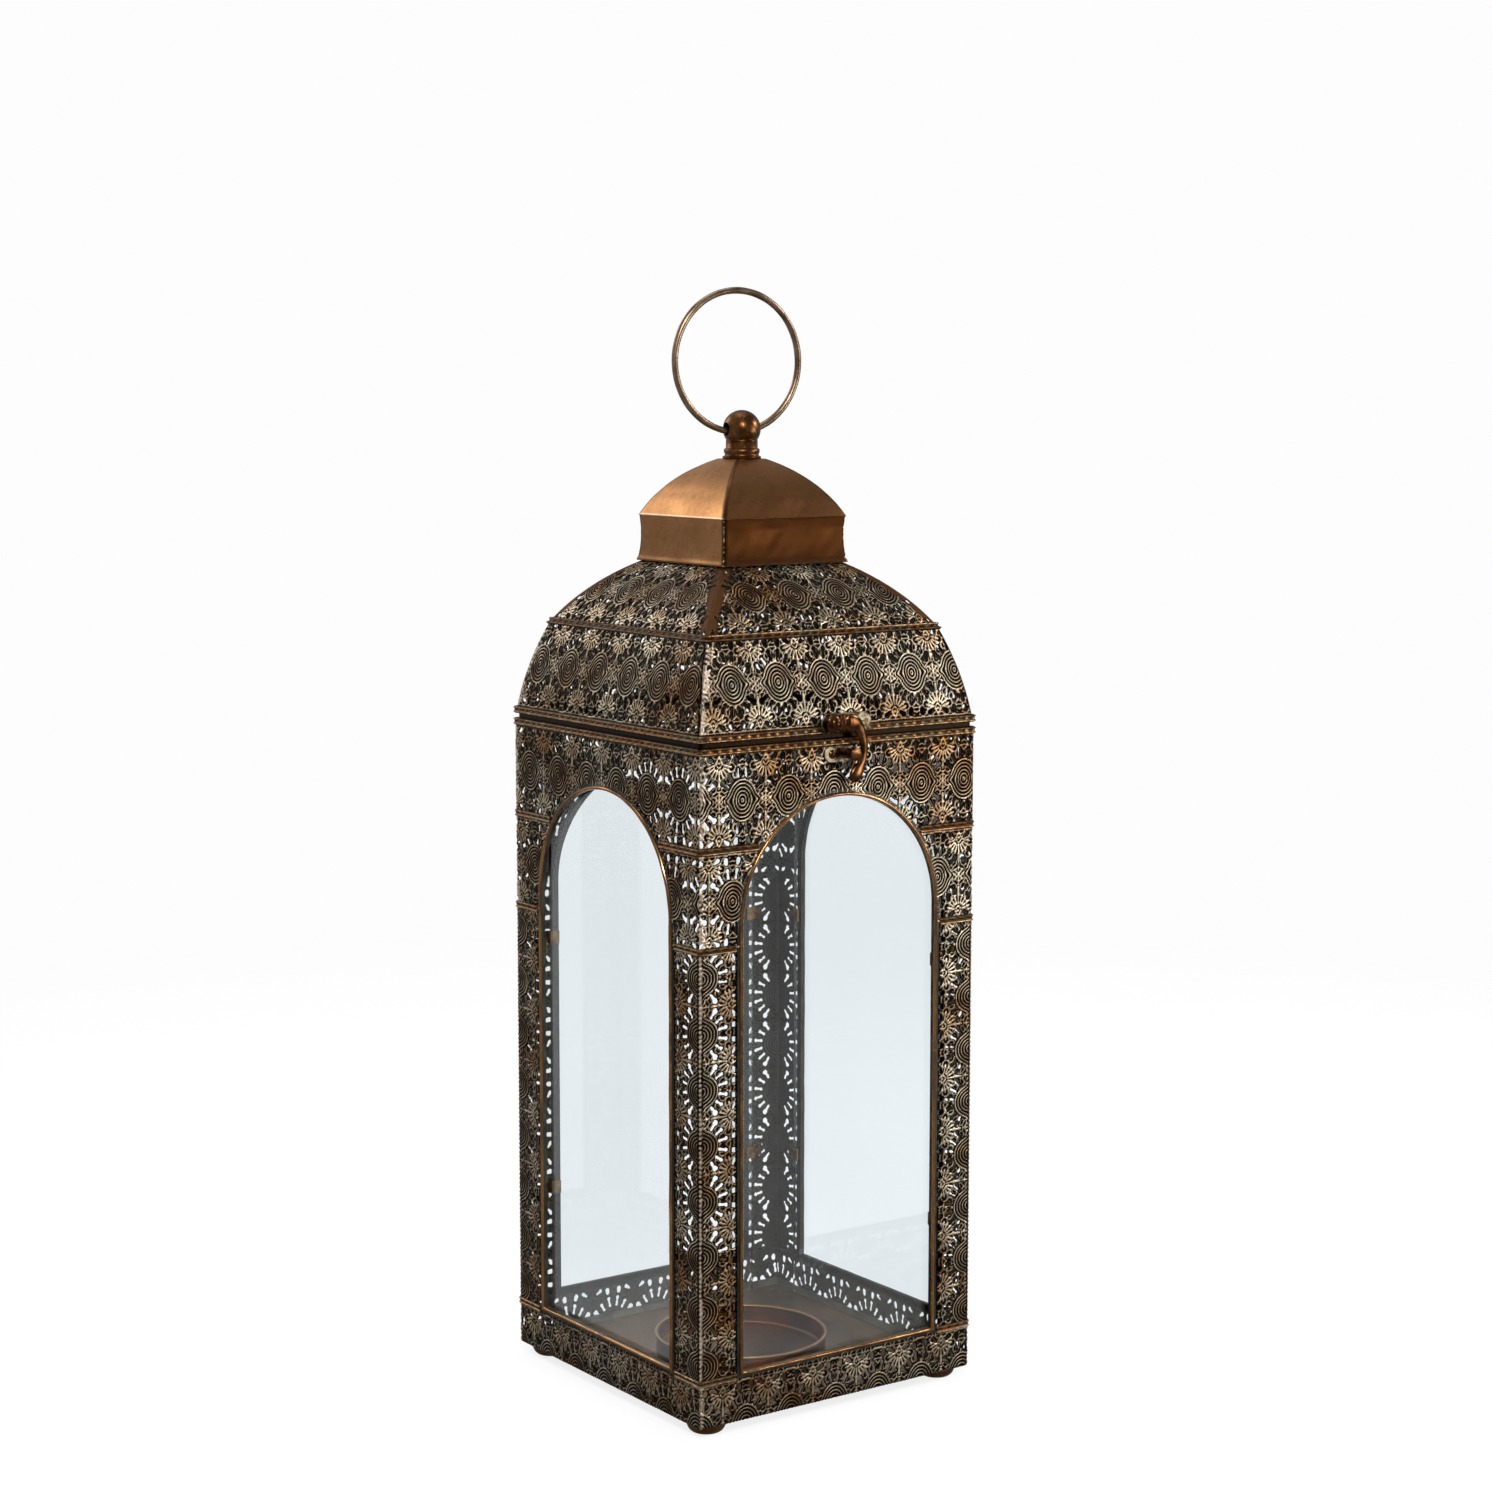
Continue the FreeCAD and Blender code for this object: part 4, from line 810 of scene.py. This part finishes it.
# ---- inside and feet -------------------------------------------------------------------------------
def build_tray(sizes):
    """The candle tray: a turned wall with a rolled rim."""
    low, high = span("candle_tray")
    floor, top, outer, bore = low[2], high[2], 38.75, 37.95
    bead = np.linspace(-0.4 * math.pi, 1.25 * math.pi, 12)
    profile = np.vstack([
        [[0.0, floor], [30.0, floor], [outer, floor], [outer, floor + 1.0], [outer, top - 2.4]],
        np.stack([outer + 0.1 + 0.85 * np.cos(bead), top - 0.9 + 0.85 * np.sin(bead)], -1),
        [[bore, top - 1.6], [bore, floor + 1.9], [bore - 0.3, floor + 1.1], [bore - 1.1, floor + 0.8],
         [36.0, floor + 0.8], [30.0, floor + 0.8], [20.0, floor + 0.8], [10.0, floor + 0.8], [0.0, floor + 0.8]],
    ])
    points, faces = lathe(profile, 120)
    make_piece("candle_tray_spun", points, faces, "body", [tray_metal()], ["candle_tray"], 60,
               poles=True)


def build_floor(sizes):
    """The floor sheet with its edge turned up inside the walls: a profile carried round a square."""
    low, high = span("floor_plate")
    edge, top = high[0], high[2]
    profile = [(edge, low[2]), (edge, top + 3.6), (edge - 0.35, top + 3.6), (edge - 0.35, top + 0.7),
               (edge - 0.5, top + 0.25), (edge - 1.0, top), (60, top), (40, top), (20, top), (0.0003, top),
               (0.0003, low[2]), (20, low[2]), (40, low[2]), (60, low[2])]
    points, faces, raised = square_loop(profile, sizes.fold, step=1.5)
    which = np.repeat((np.arange(len(profile)) < 4) | (np.arange(len(profile)) > 8), len(faces) // len(profile))
    make_piece("floor_sheet", points, faces, "body", [floor_metal(), edge_metal()], ["floor_plate"],
               30, which=which, poles=True)


def build_feet(sizes):
    """Low turned feet: a small flat, then a round swelling up to the base."""
    t = np.linspace(0, 1, 14)
    swell = np.stack([4.2 + 4.6 * np.sin(t * math.pi / 2) ** 0.8, 5.0 * (1 - np.cos(t * math.pi / 2))], -1)
    profile = np.vstack([[[0.0, 0.0]], swell, [[0.0, 5.0]]])
    points, faces = lathe(profile, 40)
    for name in CORNERS:
        low, high = span(f"foot_{name}")
        middle = np.array([(low[0] + high[0]) / 2, (low[1] + high[1]) / 2, 0])
        make_piece(f"foot_turned_{name}", points + middle, faces, "body", [cast_metal()],
                   [f"foot_{name}"], 50, poles=True)


# ---- materials -------------------------------------------------------------------------------------
def add(tree, kind, values=None, **settings):
    """Adds a node. settings set its own properties, values its inputs, from a number, a colour or a socket."""
    node = tree.nodes.new(kind)
    for key, value in settings.items():
        setattr(node, key, value)
    for key, value in (values or {}).items():
        if isinstance(value, bpy.types.NodeSocket):
            tree.links.new(value, node.inputs[key])
        else:
            node.inputs[key].default_value = value
    return node


def new_material(name):
    """An empty node material and its tree, or the one already made under that name."""
    found = bpy.data.materials.get(name)
    if found:
        return found, None
    material = bpy.data.materials.new(name)
    material.use_nodes = True
    material.node_tree.nodes.clear()
    return material, material.node_tree


def blend_colours(tree, factor, first, second):
    """The output of a colour mix."""
    mix = add(tree, "ShaderNodeMix", {0: factor, 6: first, 7: second}, data_type="RGBA")
    return mix.outputs[2]


def stretch(tree, value, low, high, first=0.0, last=1.0):
    """A value mapped from one range to another and held within it."""
    node = add(tree, "ShaderNodeMapRange", {0: value, 1: low, 2: high, 3: first, 4: last})
    return node.outputs[0]


def metal(tree, colour, roughness, normal=None, metallic=1.0):
    """A metal surface and the material's output."""
    values = {"Base Color": colour, "Metallic": metallic, "Roughness": roughness}
    if normal is not None:
        values["Normal"] = normal
    shader = add(tree, "ShaderNodeBsdfPrincipled", values)
    add(tree, "ShaderNodeOutputMaterial", {"Surface": shader.outputs[0]})
    return shader


def noise(tree, place, scale, detail=3.0, rough=0.55):
    """The output of a noise whose scale is in features per metre."""
    return add(tree, "ShaderNodeTexNoise", {"Vector": place, "Scale": scale, "Detail": detail,
                                            "Roughness": rough}).outputs[0]


def ribbon_metal():
    """Pressed brass sheet, blackened and rubbed back: dark recesses with painted shadow at the hole edges, brown
    ground, bright lines that are worn metal and also painted highlight.
    """
    material, tree = new_material("pressed_brass_blackened_rubbed")
    if tree is None:
        return material
    colours = bpy.context.scene.lantern_colours
    place = add(tree, "ShaderNodeTexCoord").outputs["Object"]
    height = add(tree, "ShaderNodeAttribute", attribute_name="pressed").outputs["Fac"]
    worn = add(tree, "ShaderNodeAttribute", attribute_name="worn").outputs["Fac"]
    patches = noise(tree, place, 34.0)
    specks = noise(tree, place, 700.0, 2.0)
    blotches = noise(tree, place, 160.0)
    ground = blend_colours(tree, stretch(tree, patches, 0.34, 0.64), tuple(colours.ground), tuple(colours.grey))
    redder = blend_colours(tree, stretch(tree, blotches, 0.5, 0.7, 0.0, 0.5), ground, linear("#5E3012"))
    dark = blend_colours(tree, stretch(tree, height, 0.15, 0.68), tuple(colours.recess), redder)
    # rub lifts the raised lines towards the ridge colour: rubbed metal and also painted highlight
    rub = add(tree, "ShaderNodeMath", {0: stretch(tree, height, 0.42, 0.85), 1: stretch(tree, blotches, 0.28, 0.62, 0.45, 1.0)},
              operation="MULTIPLY").outputs[0]
    rub = add(tree, "ShaderNodeMath", {0: rub, 1: stretch(tree, specks, 0.3, 0.6, 0.55, 1.0)}, operation="MULTIPLY").outputs[0]
    warm = blend_colours(tree, stretch(tree, patches, 0.3, 0.6), linear("#B08450"), tuple(colours.ridge))
    lines = blend_colours(tree, rub, dark, warm)
    plain = blend_colours(tree, stretch(tree, worn, -0.1, -0.9), lines, linear("#573820"))
    bare = blend_colours(tree, stretch(tree, worn, 0.2, 0.7), plain, tuple(colours.worn))
    bump = add(tree, "ShaderNodeBump", {"Strength": 0.35, "Distance": 0.0004, "Height": specks})
    rough = stretch(tree, height, -0.2, 0.9, 0.62, 0.34)
    metal(tree, bare, rough, bump.outputs[0])
    return material


def inside_metal():
    """Back of the pressed sheet: dull grey metal, left unrubbed."""
    material, tree = new_material("pressed_brass_back_dull")
    if tree is None:
        return material
    place = add(tree, "ShaderNodeTexCoord").outputs["Object"]
    height = add(tree, "ShaderNodeAttribute", attribute_name="pressed").outputs["Fac"]
    colour = blend_colours(tree, stretch(tree, height, -0.3, 0.9), linear("#66645C"), linear("#34322C"))
    colour = blend_colours(tree, stretch(tree, noise(tree, place, 60.0), 0.45, 0.65, 0.0, 0.6), colour, linear("#4A3F33"))
    metal(tree, colour, 0.5)
    return material


def strip_metal():
    """Drawn brass strip, browned: dark groove, painted shade on the hidden back and the lid's skirt, brown beads with
    rubbed dashes.
    """
    material, tree = new_material("drawn_brass_strip_browned")
    if tree is None:
        return material
    place = add(tree, "ShaderNodeTexCoord").outputs["Object"]
    patches, specks = noise(tree, place, 60.0), noise(tree, place, 420.0)
    raised = add(tree, "ShaderNodeAttribute", attribute_name="pressed").outputs["Fac"]
    bead = blend_colours(tree, stretch(tree, patches, 0.42, 0.6), linear("#6A4428"), linear("#5C5038"))
    # 1C130C fills the groove and the hidden back; on the back and the lid rim's skirt, seen in the gap between the
    # rims, it is painted shade
    ground = blend_colours(tree, stretch(tree, raised, -0.3, 0.5), linear("#1C130C"), bead)
    rub = add(tree, "ShaderNodeMath", {0: stretch(tree, raised, 0.5, 1.0), 1: stretch(tree, specks, 0.42, 0.66)},
              operation="MULTIPLY").outputs[0]
    colour = blend_colours(tree, rub, ground, linear("#C8A274"))
    bump = add(tree, "ShaderNodeBump", {"Strength": 0.3, "Distance": 0.0004, "Height": specks})
    metal(tree, colour, 0.36, bump.outputs[0])
    return material


def trim_metal():
    """Rolled copper bead, lightly browned: satin, redder than the ribbon."""
    material, tree = new_material("rolled_copper_bead_browned")
    if tree is None:
        return material
    place = add(tree, "ShaderNodeTexCoord").outputs["Object"]
    patches, specks = noise(tree, place, 45.0), noise(tree, place, 380.0)
    colour = blend_colours(tree, stretch(tree, patches, 0.42, 0.62), linear("#A07448"), linear("#74543A"))
    colour = blend_colours(tree, stretch(tree, specks, 0.56, 0.72, 0.0, 0.5), colour, linear("#C9A27C"))
    metal(tree, colour, 0.2)
    return material


def flange_metal():
    """Folded edge of the window bead: dark, greyed metal, left matt."""
    material, tree = new_material("folded_edge_greyed_dark")
    if tree is None:
        return material
    place = add(tree, "ShaderNodeTexCoord").outputs["Object"]
    colour = blend_colours(tree, stretch(tree, noise(tree, place, 90.0), 0.4, 0.65), linear("#34322E"), linear("#4C4840"))
    metal(tree, colour, 0.5)
    return material


def edge_metal():
    """Turned-up edge and back of the floor sheet: tinned grey, dulled."""
    material, tree = new_material("floor_sheet_edge_tinned_dull")
    if tree is None:
        return material
    place = add(tree, "ShaderNodeTexCoord").outputs["Object"]
    colour = blend_colours(tree, stretch(tree, noise(tree, place, 70.0), 0.4, 0.65), linear("#8A8778"), linear("#5E5A4C"))
    metal(tree, colour, 0.42)
    return material


def cap_metal():
    """Aged copper sheet, waxed to a satin: mottled browns, dark seams with bare chips, and painted shade on the front
    and right faces.
    """
    material, tree = new_material("aged_copper_sheet_satin")
    if tree is None:
        return material
    colours = bpy.context.scene.lantern_colours
    place = add(tree, "ShaderNodeTexCoord").outputs["Object"]
    worn = add(tree, "ShaderNodeAttribute", attribute_name="worn").outputs["Fac"]
    seam = add(tree, "ShaderNodeAttribute", attribute_name="seam").outputs["Fac"]
    painted_shade = add(tree, "ShaderNodeAttribute", attribute_name="painted_shade").outputs["Fac"]
    patches = noise(tree, place, 38.0, 5.0, 0.62)
    grain = noise(tree, place, 900.0, 2.0)
    colour = blend_colours(tree, stretch(tree, patches, 0.36, 0.68, 0.0, 0.7), tuple(colours.copper), linear("#8C5C30"))
    spots = noise(tree, place, 330.0, 4.0, 0.7)
    colour = blend_colours(tree, stretch(tree, spots, 0.5, 0.75, 0.0, 0.6), colour, linear("#7A4E28"))
    colour = blend_colours(tree, stretch(tree, grain, 0.35, 0.7, 0.0, 0.28), colour, linear("#C99661"))
    # painted shade: this mix darkens the copper towards #301705 on the front and right faces and low on the collar
    colour = blend_colours(tree, stretch(tree, painted_shade, 0.0, 1.0, 0.0, 0.98), colour, linear("#301705"))
    colour = blend_colours(tree, stretch(tree, seam, 0.3, 0.9, 0.0, 0.85), colour, linear("#2A160A"))
    colour = blend_colours(tree, stretch(tree, worn, 0.45, 0.8, 0.0, 0.9), colour, linear("#EBD3B4"))
    bump = add(tree, "ShaderNodeBump", {"Strength": 0.12, "Distance": 0.0003, "Height": grain})
    metal(tree, colour, stretch(tree, patches, 0.3, 0.7, 0.34, 0.46), bump.outputs[0])
    return material


def cap_inside():
    """Inside of the cap: dull, dark copper."""
    material, tree = new_material("copper_sheet_inside_dull")
    if tree is None:
        return material
    place = add(tree, "ShaderNodeTexCoord").outputs["Object"]
    colour = blend_colours(tree, noise(tree, place, 60.0), linear("#4A3524"), linear("#37302A"))
    metal(tree, colour, 0.55)
    return material


def cast_metal():
    """Cast and turned brass, darkened and handled: brown with a warm shine."""
    material, tree = new_material("turned_brass_darkened")
    if tree is None:
        return material
    colours = bpy.context.scene.lantern_colours
    place = add(tree, "ShaderNodeTexCoord").outputs["Object"]
    patches, grain = noise(tree, place, 120.0), noise(tree, place, 800.0, 2.0)
    colour = blend_colours(tree, stretch(tree, patches, 0.4, 0.62), tuple(colours.cast), linear("#4A2C16"))
    colour = blend_colours(tree, stretch(tree, grain, 0.55, 0.75, 0.0, 0.4), colour, linear("#A07A4E"))
    metal(tree, colour, 0.33)
    return material


def hook_metal():
    """Sand-cast brass hook, oiled dark: reddish brown with crisp small highlights."""
    material, tree = new_material("cast_brass_oiled_dark")
    if tree is None:
        return material
    place = add(tree, "ShaderNodeTexCoord").outputs["Object"]
    patches, grain = noise(tree, place, 200.0), noise(tree, place, 1500.0, 2.0)
    colour = blend_colours(tree, stretch(tree, patches, 0.38, 0.62), linear("#664428"), linear("#3A200E"))
    bump = add(tree, "ShaderNodeBump", {"Strength": 0.05, "Distance": 0.0001, "Height": grain})
    metal(tree, colour, 0.24, bump.outputs[0])
    return material


def plate_metal():
    """Stamped brass plate, greyed and rubbed: pale grey-brown mottled with dark brown."""
    material, tree = new_material("stamped_brass_plate_greyed")
    if tree is None:
        return material
    place = add(tree, "ShaderNodeTexCoord").outputs["Object"]
    patches = noise(tree, place, 260.0)
    colour = blend_colours(tree, stretch(tree, patches, 0.42, 0.58), linear("#3A281A"), linear("#8E826C"))
    metal(tree, colour, 0.4)
    return material


def wire_metal():
    """Drawn wire, browned: brown, mottled lighter and darker."""
    material, tree = new_material("drawn_wire_browned")
    if tree is None:
        return material
    place = add(tree, "ShaderNodeTexCoord").outputs["Object"]
    patches = noise(tree, place, 150.0)
    colour = blend_colours(tree, stretch(tree, patches, 0.35, 0.65), linear("#8E7862"), linear("#6A5442"))
    metal(tree, colour, 0.32)
    return material


def tray_metal():
    """Spun copper tray, aged: brown wall with a rubbed rim and a greyer bottom."""
    material, tree = new_material("spun_copper_tray_aged")
    if tree is None:
        return material
    place = add(tree, "ShaderNodeTexCoord").outputs["Object"]
    height = add(tree, "ShaderNodeSeparateXYZ", {0: place}).outputs[2]
    patches, rings = noise(tree, place, 50.0, 5.0), noise(tree, place, 500.0, 2.0)
    top = span("candle_tray")[1][2] / 1000
    colour = blend_colours(tree, stretch(tree, patches, 0.4, 0.62), linear("#80481F"), linear("#5A3C20"))
    colour = blend_colours(tree, stretch(tree, height, 0.0082, 0.0072), colour, linear("#645A4E"))
    colour = blend_colours(tree, stretch(tree, height, top - 0.0012, top - 0.0002), colour, linear("#96764E"))
    metal(tree, colour, stretch(tree, rings, 0.3, 0.7, 0.3, 0.44))
    return material


def floor_metal():
    """Floor plate: bronzed sheet, scuffed, with a faint brushed grain."""
    material, tree = new_material("bronzed_floor_sheet_scuffed")
    if tree is None:
        return material
    place = add(tree, "ShaderNodeTexCoord").outputs["Object"]
    long = add(tree, "ShaderNodeMapping", {"Vector": place, "Scale": (1.0, 9.0, 1.0)}).outputs[0]
    patches, brushed = noise(tree, place, 30.0, 5.0), noise(tree, long, 160.0)
    spots = noise(tree, place, 210.0)
    colour = blend_colours(tree, stretch(tree, patches, 0.4, 0.62), linear("#8A6C50"), linear("#6A5644"))
    colour = blend_colours(tree, stretch(tree, brushed, 0.5, 0.75, 0.0, 0.5), colour, linear("#A08A6E"))
    colour = blend_colours(tree, stretch(tree, spots, 0.66, 0.72, 0.0, 0.8), colour, linear("#2A1F16"))
    metal(tree, colour, stretch(tree, brushed, 0.3, 0.7, 0.34, 0.48))
    return material


def fitting_metal():
    """Small stamped fittings: browned brass, mottled lighter and darker."""
    material, tree = new_material("stamped_brass_fittings_browned")
    if tree is None:
        return material
    place = add(tree, "ShaderNodeTexCoord").outputs["Object"]
    colour = blend_colours(tree, stretch(tree, noise(tree, place, 300.0), 0.4, 0.65), linear("#5C4226"), linear("#8A6E48"))
    metal(tree, colour, 0.38)
    return material


def clear_glass():
    """Float glass pane: clear with a faint cool tint; shadow rays pass so the inside stays lit."""
    material, tree = new_material("float_glass_clear")
    if tree is None:
        return material
    glass = add(tree, "ShaderNodeBsdfPrincipled", {"Base Color": linear("#F3F7F9"), "Roughness": 0.0, "IOR": 1.45,
                                                   "Transmission Weight": 1.0})
    clear = add(tree, "ShaderNodeBsdfTransparent", {"Color": linear("#F6F9FA")})
    shadow = add(tree, "ShaderNodeLightPath").outputs["Is Shadow Ray"]
    mix = add(tree, "ShaderNodeMixShader", {0: shadow, 1: glass.outputs[0], 2: clear.outputs[0]})
    add(tree, "ShaderNodeOutputMaterial", {"Surface": mix.outputs[0]})
    return material


def dress(node, material):
    """Gives a frame node its material."""
    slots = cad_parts[node].data.materials
    slots.clear()
    slots.append(material)


# ---- stage -----------------------------------------------------------------------------------------
def build_stage():
    """Pale floor, soft lamps, a pale surround and the camera."""
    scene = bpy.context.scene
    scene.view_settings.view_transform = "Standard"
    world = bpy.data.worlds.new("studio")
    scene.world = world
    world.use_nodes = True
    tree = world.node_tree
    tree.nodes.clear()
    path = add(tree, "ShaderNodeLightPath")
    way = add(tree, "ShaderNodeTexCoord").outputs["Generated"]
    split = add(tree, "ShaderNodeSeparateXYZ", {0: way})
    back = add(tree, "ShaderNodeMath", {0: split.outputs[1], 1: 0.9, 2: 0.0}, operation="MULTIPLY_ADD").outputs[0]
    left = add(tree, "ShaderNodeMath", {0: split.outputs[0], 1: -0.75, 2: back}, operation="MULTIPLY_ADD").outputs[0]
    room = stretch(tree, left, -0.8, 0.9, 0.26, 0.55)
    grey = add(tree, "ShaderNodeCombineColor", {0: room, 1: room, 2: room}).outputs[0]
    seen = add(tree, "ShaderNodeMath", {0: path.outputs["Is Camera Ray"], 1: path.outputs["Is Transmission Ray"]},
               operation="MAXIMUM").outputs[0]
    colour = blend_colours(tree, seen, grey, (0.98, 0.98, 0.98, 1.0))
    surround = add(tree, "ShaderNodeBackground", {"Color": colour, "Strength": 1.0})
    add(tree, "ShaderNodeOutputWorld", {"Surface": surround.outputs[0]})

    floor_mesh = bpy.data.meshes.new("floor")
    reach = 30.0
    floor_mesh.from_pydata([(-reach, -reach, 0), (reach, -reach, 0), (reach, reach, 0), (-reach, reach, 0)], [],
                           [(0, 1, 2, 3)])
    floor = bpy.data.objects.new("floor", floor_mesh)
    scene.collection.objects.link(floor)
    material, tree = new_material("studio_floor_pale")
    matt = add(tree, "ShaderNodeBsdfDiffuse", {"Color": (0.22, 0.22, 0.22, 1.0)})
    glow = add(tree, "ShaderNodeEmission", {"Color": (1.0, 1.0, 1.0, 1.0)})
    path = add(tree, "ShaderNodeLightPath")
    seen = add(tree, "ShaderNodeMath", {0: path.outputs["Is Camera Ray"], 1: path.outputs["Is Transmission Ray"]},
               operation="MAXIMUM").outputs[0]
    tree.links.new(stretch(tree, seen, 0.0, 1.0, 0.12, 0.82), glow.inputs["Strength"])
    both = add(tree, "ShaderNodeAddShader", {0: matt.outputs[0], 1: glow.outputs[0]})
    place = add(tree, "ShaderNodeTexCoord").outputs["Object"]
    away = add(tree, "ShaderNodeVectorMath", {0: place}, operation="LENGTH").outputs["Value"]
    clear = add(tree, "ShaderNodeBsdfTransparent")
    fade = add(tree, "ShaderNodeMixShader", {0: stretch(tree, away, 0.45, 1.1), 1: both.outputs[0], 2: clear.outputs[0]})
    add(tree, "ShaderNodeOutputMaterial", {"Surface": fade.outputs[0]})
    floor_mesh.materials.append(material)

    lamps = (("key", (-0.75, -1.35, 1.35), 0.45, 20.0), ("right", (1.5, -0.7, 1.1), 0.4, 13.0),
             ("low", (1.35, -1.5, 0.3), 0.5, 10.5), ("back", (-0.8, 1.7, 1.3), 0.8, 7.0), ("top", (0.1, 0.2, 1.7), 0.8, 5.0))
    for name, place, size, power in lamps:
        data = bpy.data.lights.new(name, "AREA")
        data.size = size
        data.energy = power
        lamp = bpy.data.objects.new(name, data)
        lamp.location = place
        lamp.rotation_mode = "QUATERNION"
        lamp.rotation_quaternion = (Vector((0, 0, 0.22)) - Vector(place)).to_track_quat("-Z", "Y")
        lamp.visible_camera = lamp.visible_transmission = False
        scene.collection.objects.link(lamp)

    azimuth, elevation, roll = math.radians(-35.44), math.radians(6.93), math.radians(0.04)
    back = Vector((math.sin(azimuth) * math.cos(elevation), -math.cos(azimuth) * math.cos(elevation),
                   math.sin(elevation)))
    right = Vector((math.cos(azimuth), math.sin(azimuth), 0))
    up = back.cross(right)
    data = bpy.data.cameras.new("camera")
    data.sensor_fit = "HORIZONTAL"
    data.sensor_width = 36.0
    data.lens = 71.63
    data.clip_start, data.clip_end = 0.05, 200.0
    camera = bpy.data.objects.new("camera", data)
    turn = Matrix((right, up, back)).transposed() @ Matrix.Rotation(roll, 3, "Z")
    camera.matrix_world = Matrix.Translation((-0.7780, -1.0966, 0.4542)) @ turn.to_4x4()
    scene.collection.objects.link(camera)
    scene.camera = camera


# ---- add-on ----------------------------------------------------------------------------------------
class LANTERN_OT_stage(bpy.types.Operator):
    """Makes the floor, lamps, surround and camera"""
    bl_idname = "lantern.stage"
    bl_label = "Stage"

    def execute(self, context):
        build_stage()
        return {"FINISHED"}


class LANTERN_OT_walls(bpy.types.Operator):
    """Makes the pierced ribbons of the body"""
    bl_idname = "lantern.walls"
    bl_label = "Ribbon walls"

    def execute(self, context):
        build_walls(context.scene.lantern_sizes)
        return {"FINISHED"}


class LANTERN_OT_dome(bpy.types.Operator):
    """Makes the pierced panels of the lid"""
    bl_idname = "lantern.dome"
    bl_label = "Dome panels"

    def execute(self, context):
        build_dome(context.scene.lantern_sizes)
        return {"FINISHED"}


class LANTERN_OT_strips(bpy.types.Operator):
    """Makes the moulded strips, rims and window beads"""
    bl_idname = "lantern.strips"
    bl_label = "Strips and beads"

    def execute(self, context):
        build_strips(context.scene.lantern_sizes)
        build_trims(context.scene.lantern_sizes)
        return {"FINISHED"}


class LANTERN_OT_cap(bpy.types.Operator):
    """Makes the cap, the finial and the ring"""
    bl_idname = "lantern.cap"
    bl_label = "Cap and ring"

    def execute(self, context):
        build_cap(context.scene.lantern_sizes)
        build_finial(context.scene.lantern_sizes)
        return {"FINISHED"}


class LANTERN_OT_latch(bpy.types.Operator):
    """Makes the hook, its plates and the stud"""
    bl_idname = "lantern.latch"
    bl_label = "Latch"

    def execute(self, context):
        build_latch(context.scene.lantern_sizes)
        return {"FINISHED"}


class LANTERN_OT_inside(bpy.types.Operator):
    """Makes the tray and the feet, and dresses the floor, the panes and the small fittings"""
    bl_idname = "lantern.inside"
    bl_label = "Inside, feet and fittings"

    def execute(self, context):
        build_tray(context.scene.lantern_sizes)
        build_floor(context.scene.lantern_sizes)
        build_feet(context.scene.lantern_sizes)
        for name in SIDES:
            dress(f"glass_pane_{name}", clear_glass())
        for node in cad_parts:
            if node.startswith(("hinge_", "glass_tabs", "foot_rivets", "latch_nail", "finial_nut")):
                dress(node, fitting_metal())
        return {"FINISHED"}


class LANTERN_PT_panel(bpy.types.Panel):
    """Lists the lantern's settings and steps"""
    bl_label = "Candle lantern"
    bl_idname = "LANTERN_PT_panel"
    bl_space_type = "VIEW_3D"
    bl_region_type = "UI"
    bl_category = "Lantern"

    def draw(self, context):
        for group in (context.scene.lantern_sizes, context.scene.lantern_colours):
            for key in group.__annotations__:
                self.layout.prop(group, key)
        for operator in OPERATORS:
            self.layout.operator(operator.bl_idname)


OPERATORS = (LANTERN_OT_stage, LANTERN_OT_walls, LANTERN_OT_dome, LANTERN_OT_strips, LANTERN_OT_cap,
             LANTERN_OT_latch, LANTERN_OT_inside)
CLASSES = (LanternSizes, LanternColours, *OPERATORS, LANTERN_PT_panel)


def register():
    """Registers the classes and the settings."""
    for cls in CLASSES:
        bpy.utils.register_class(cls)
    bpy.types.Scene.lantern_sizes = PointerProperty(type=LanternSizes)
    bpy.types.Scene.lantern_colours = PointerProperty(type=LanternColours)


def unregister():
    """Takes them away again."""
    del bpy.types.Scene.lantern_colours
    del bpy.types.Scene.lantern_sizes
    for cls in reversed(CLASSES):
        bpy.utils.unregister_class(cls)


def main():
    register()
    for operator in OPERATORS:
        group, step = operator.bl_idname.split(".")
        getattr(getattr(bpy.ops, group), step)()


if __name__ == "__main__":
    main()
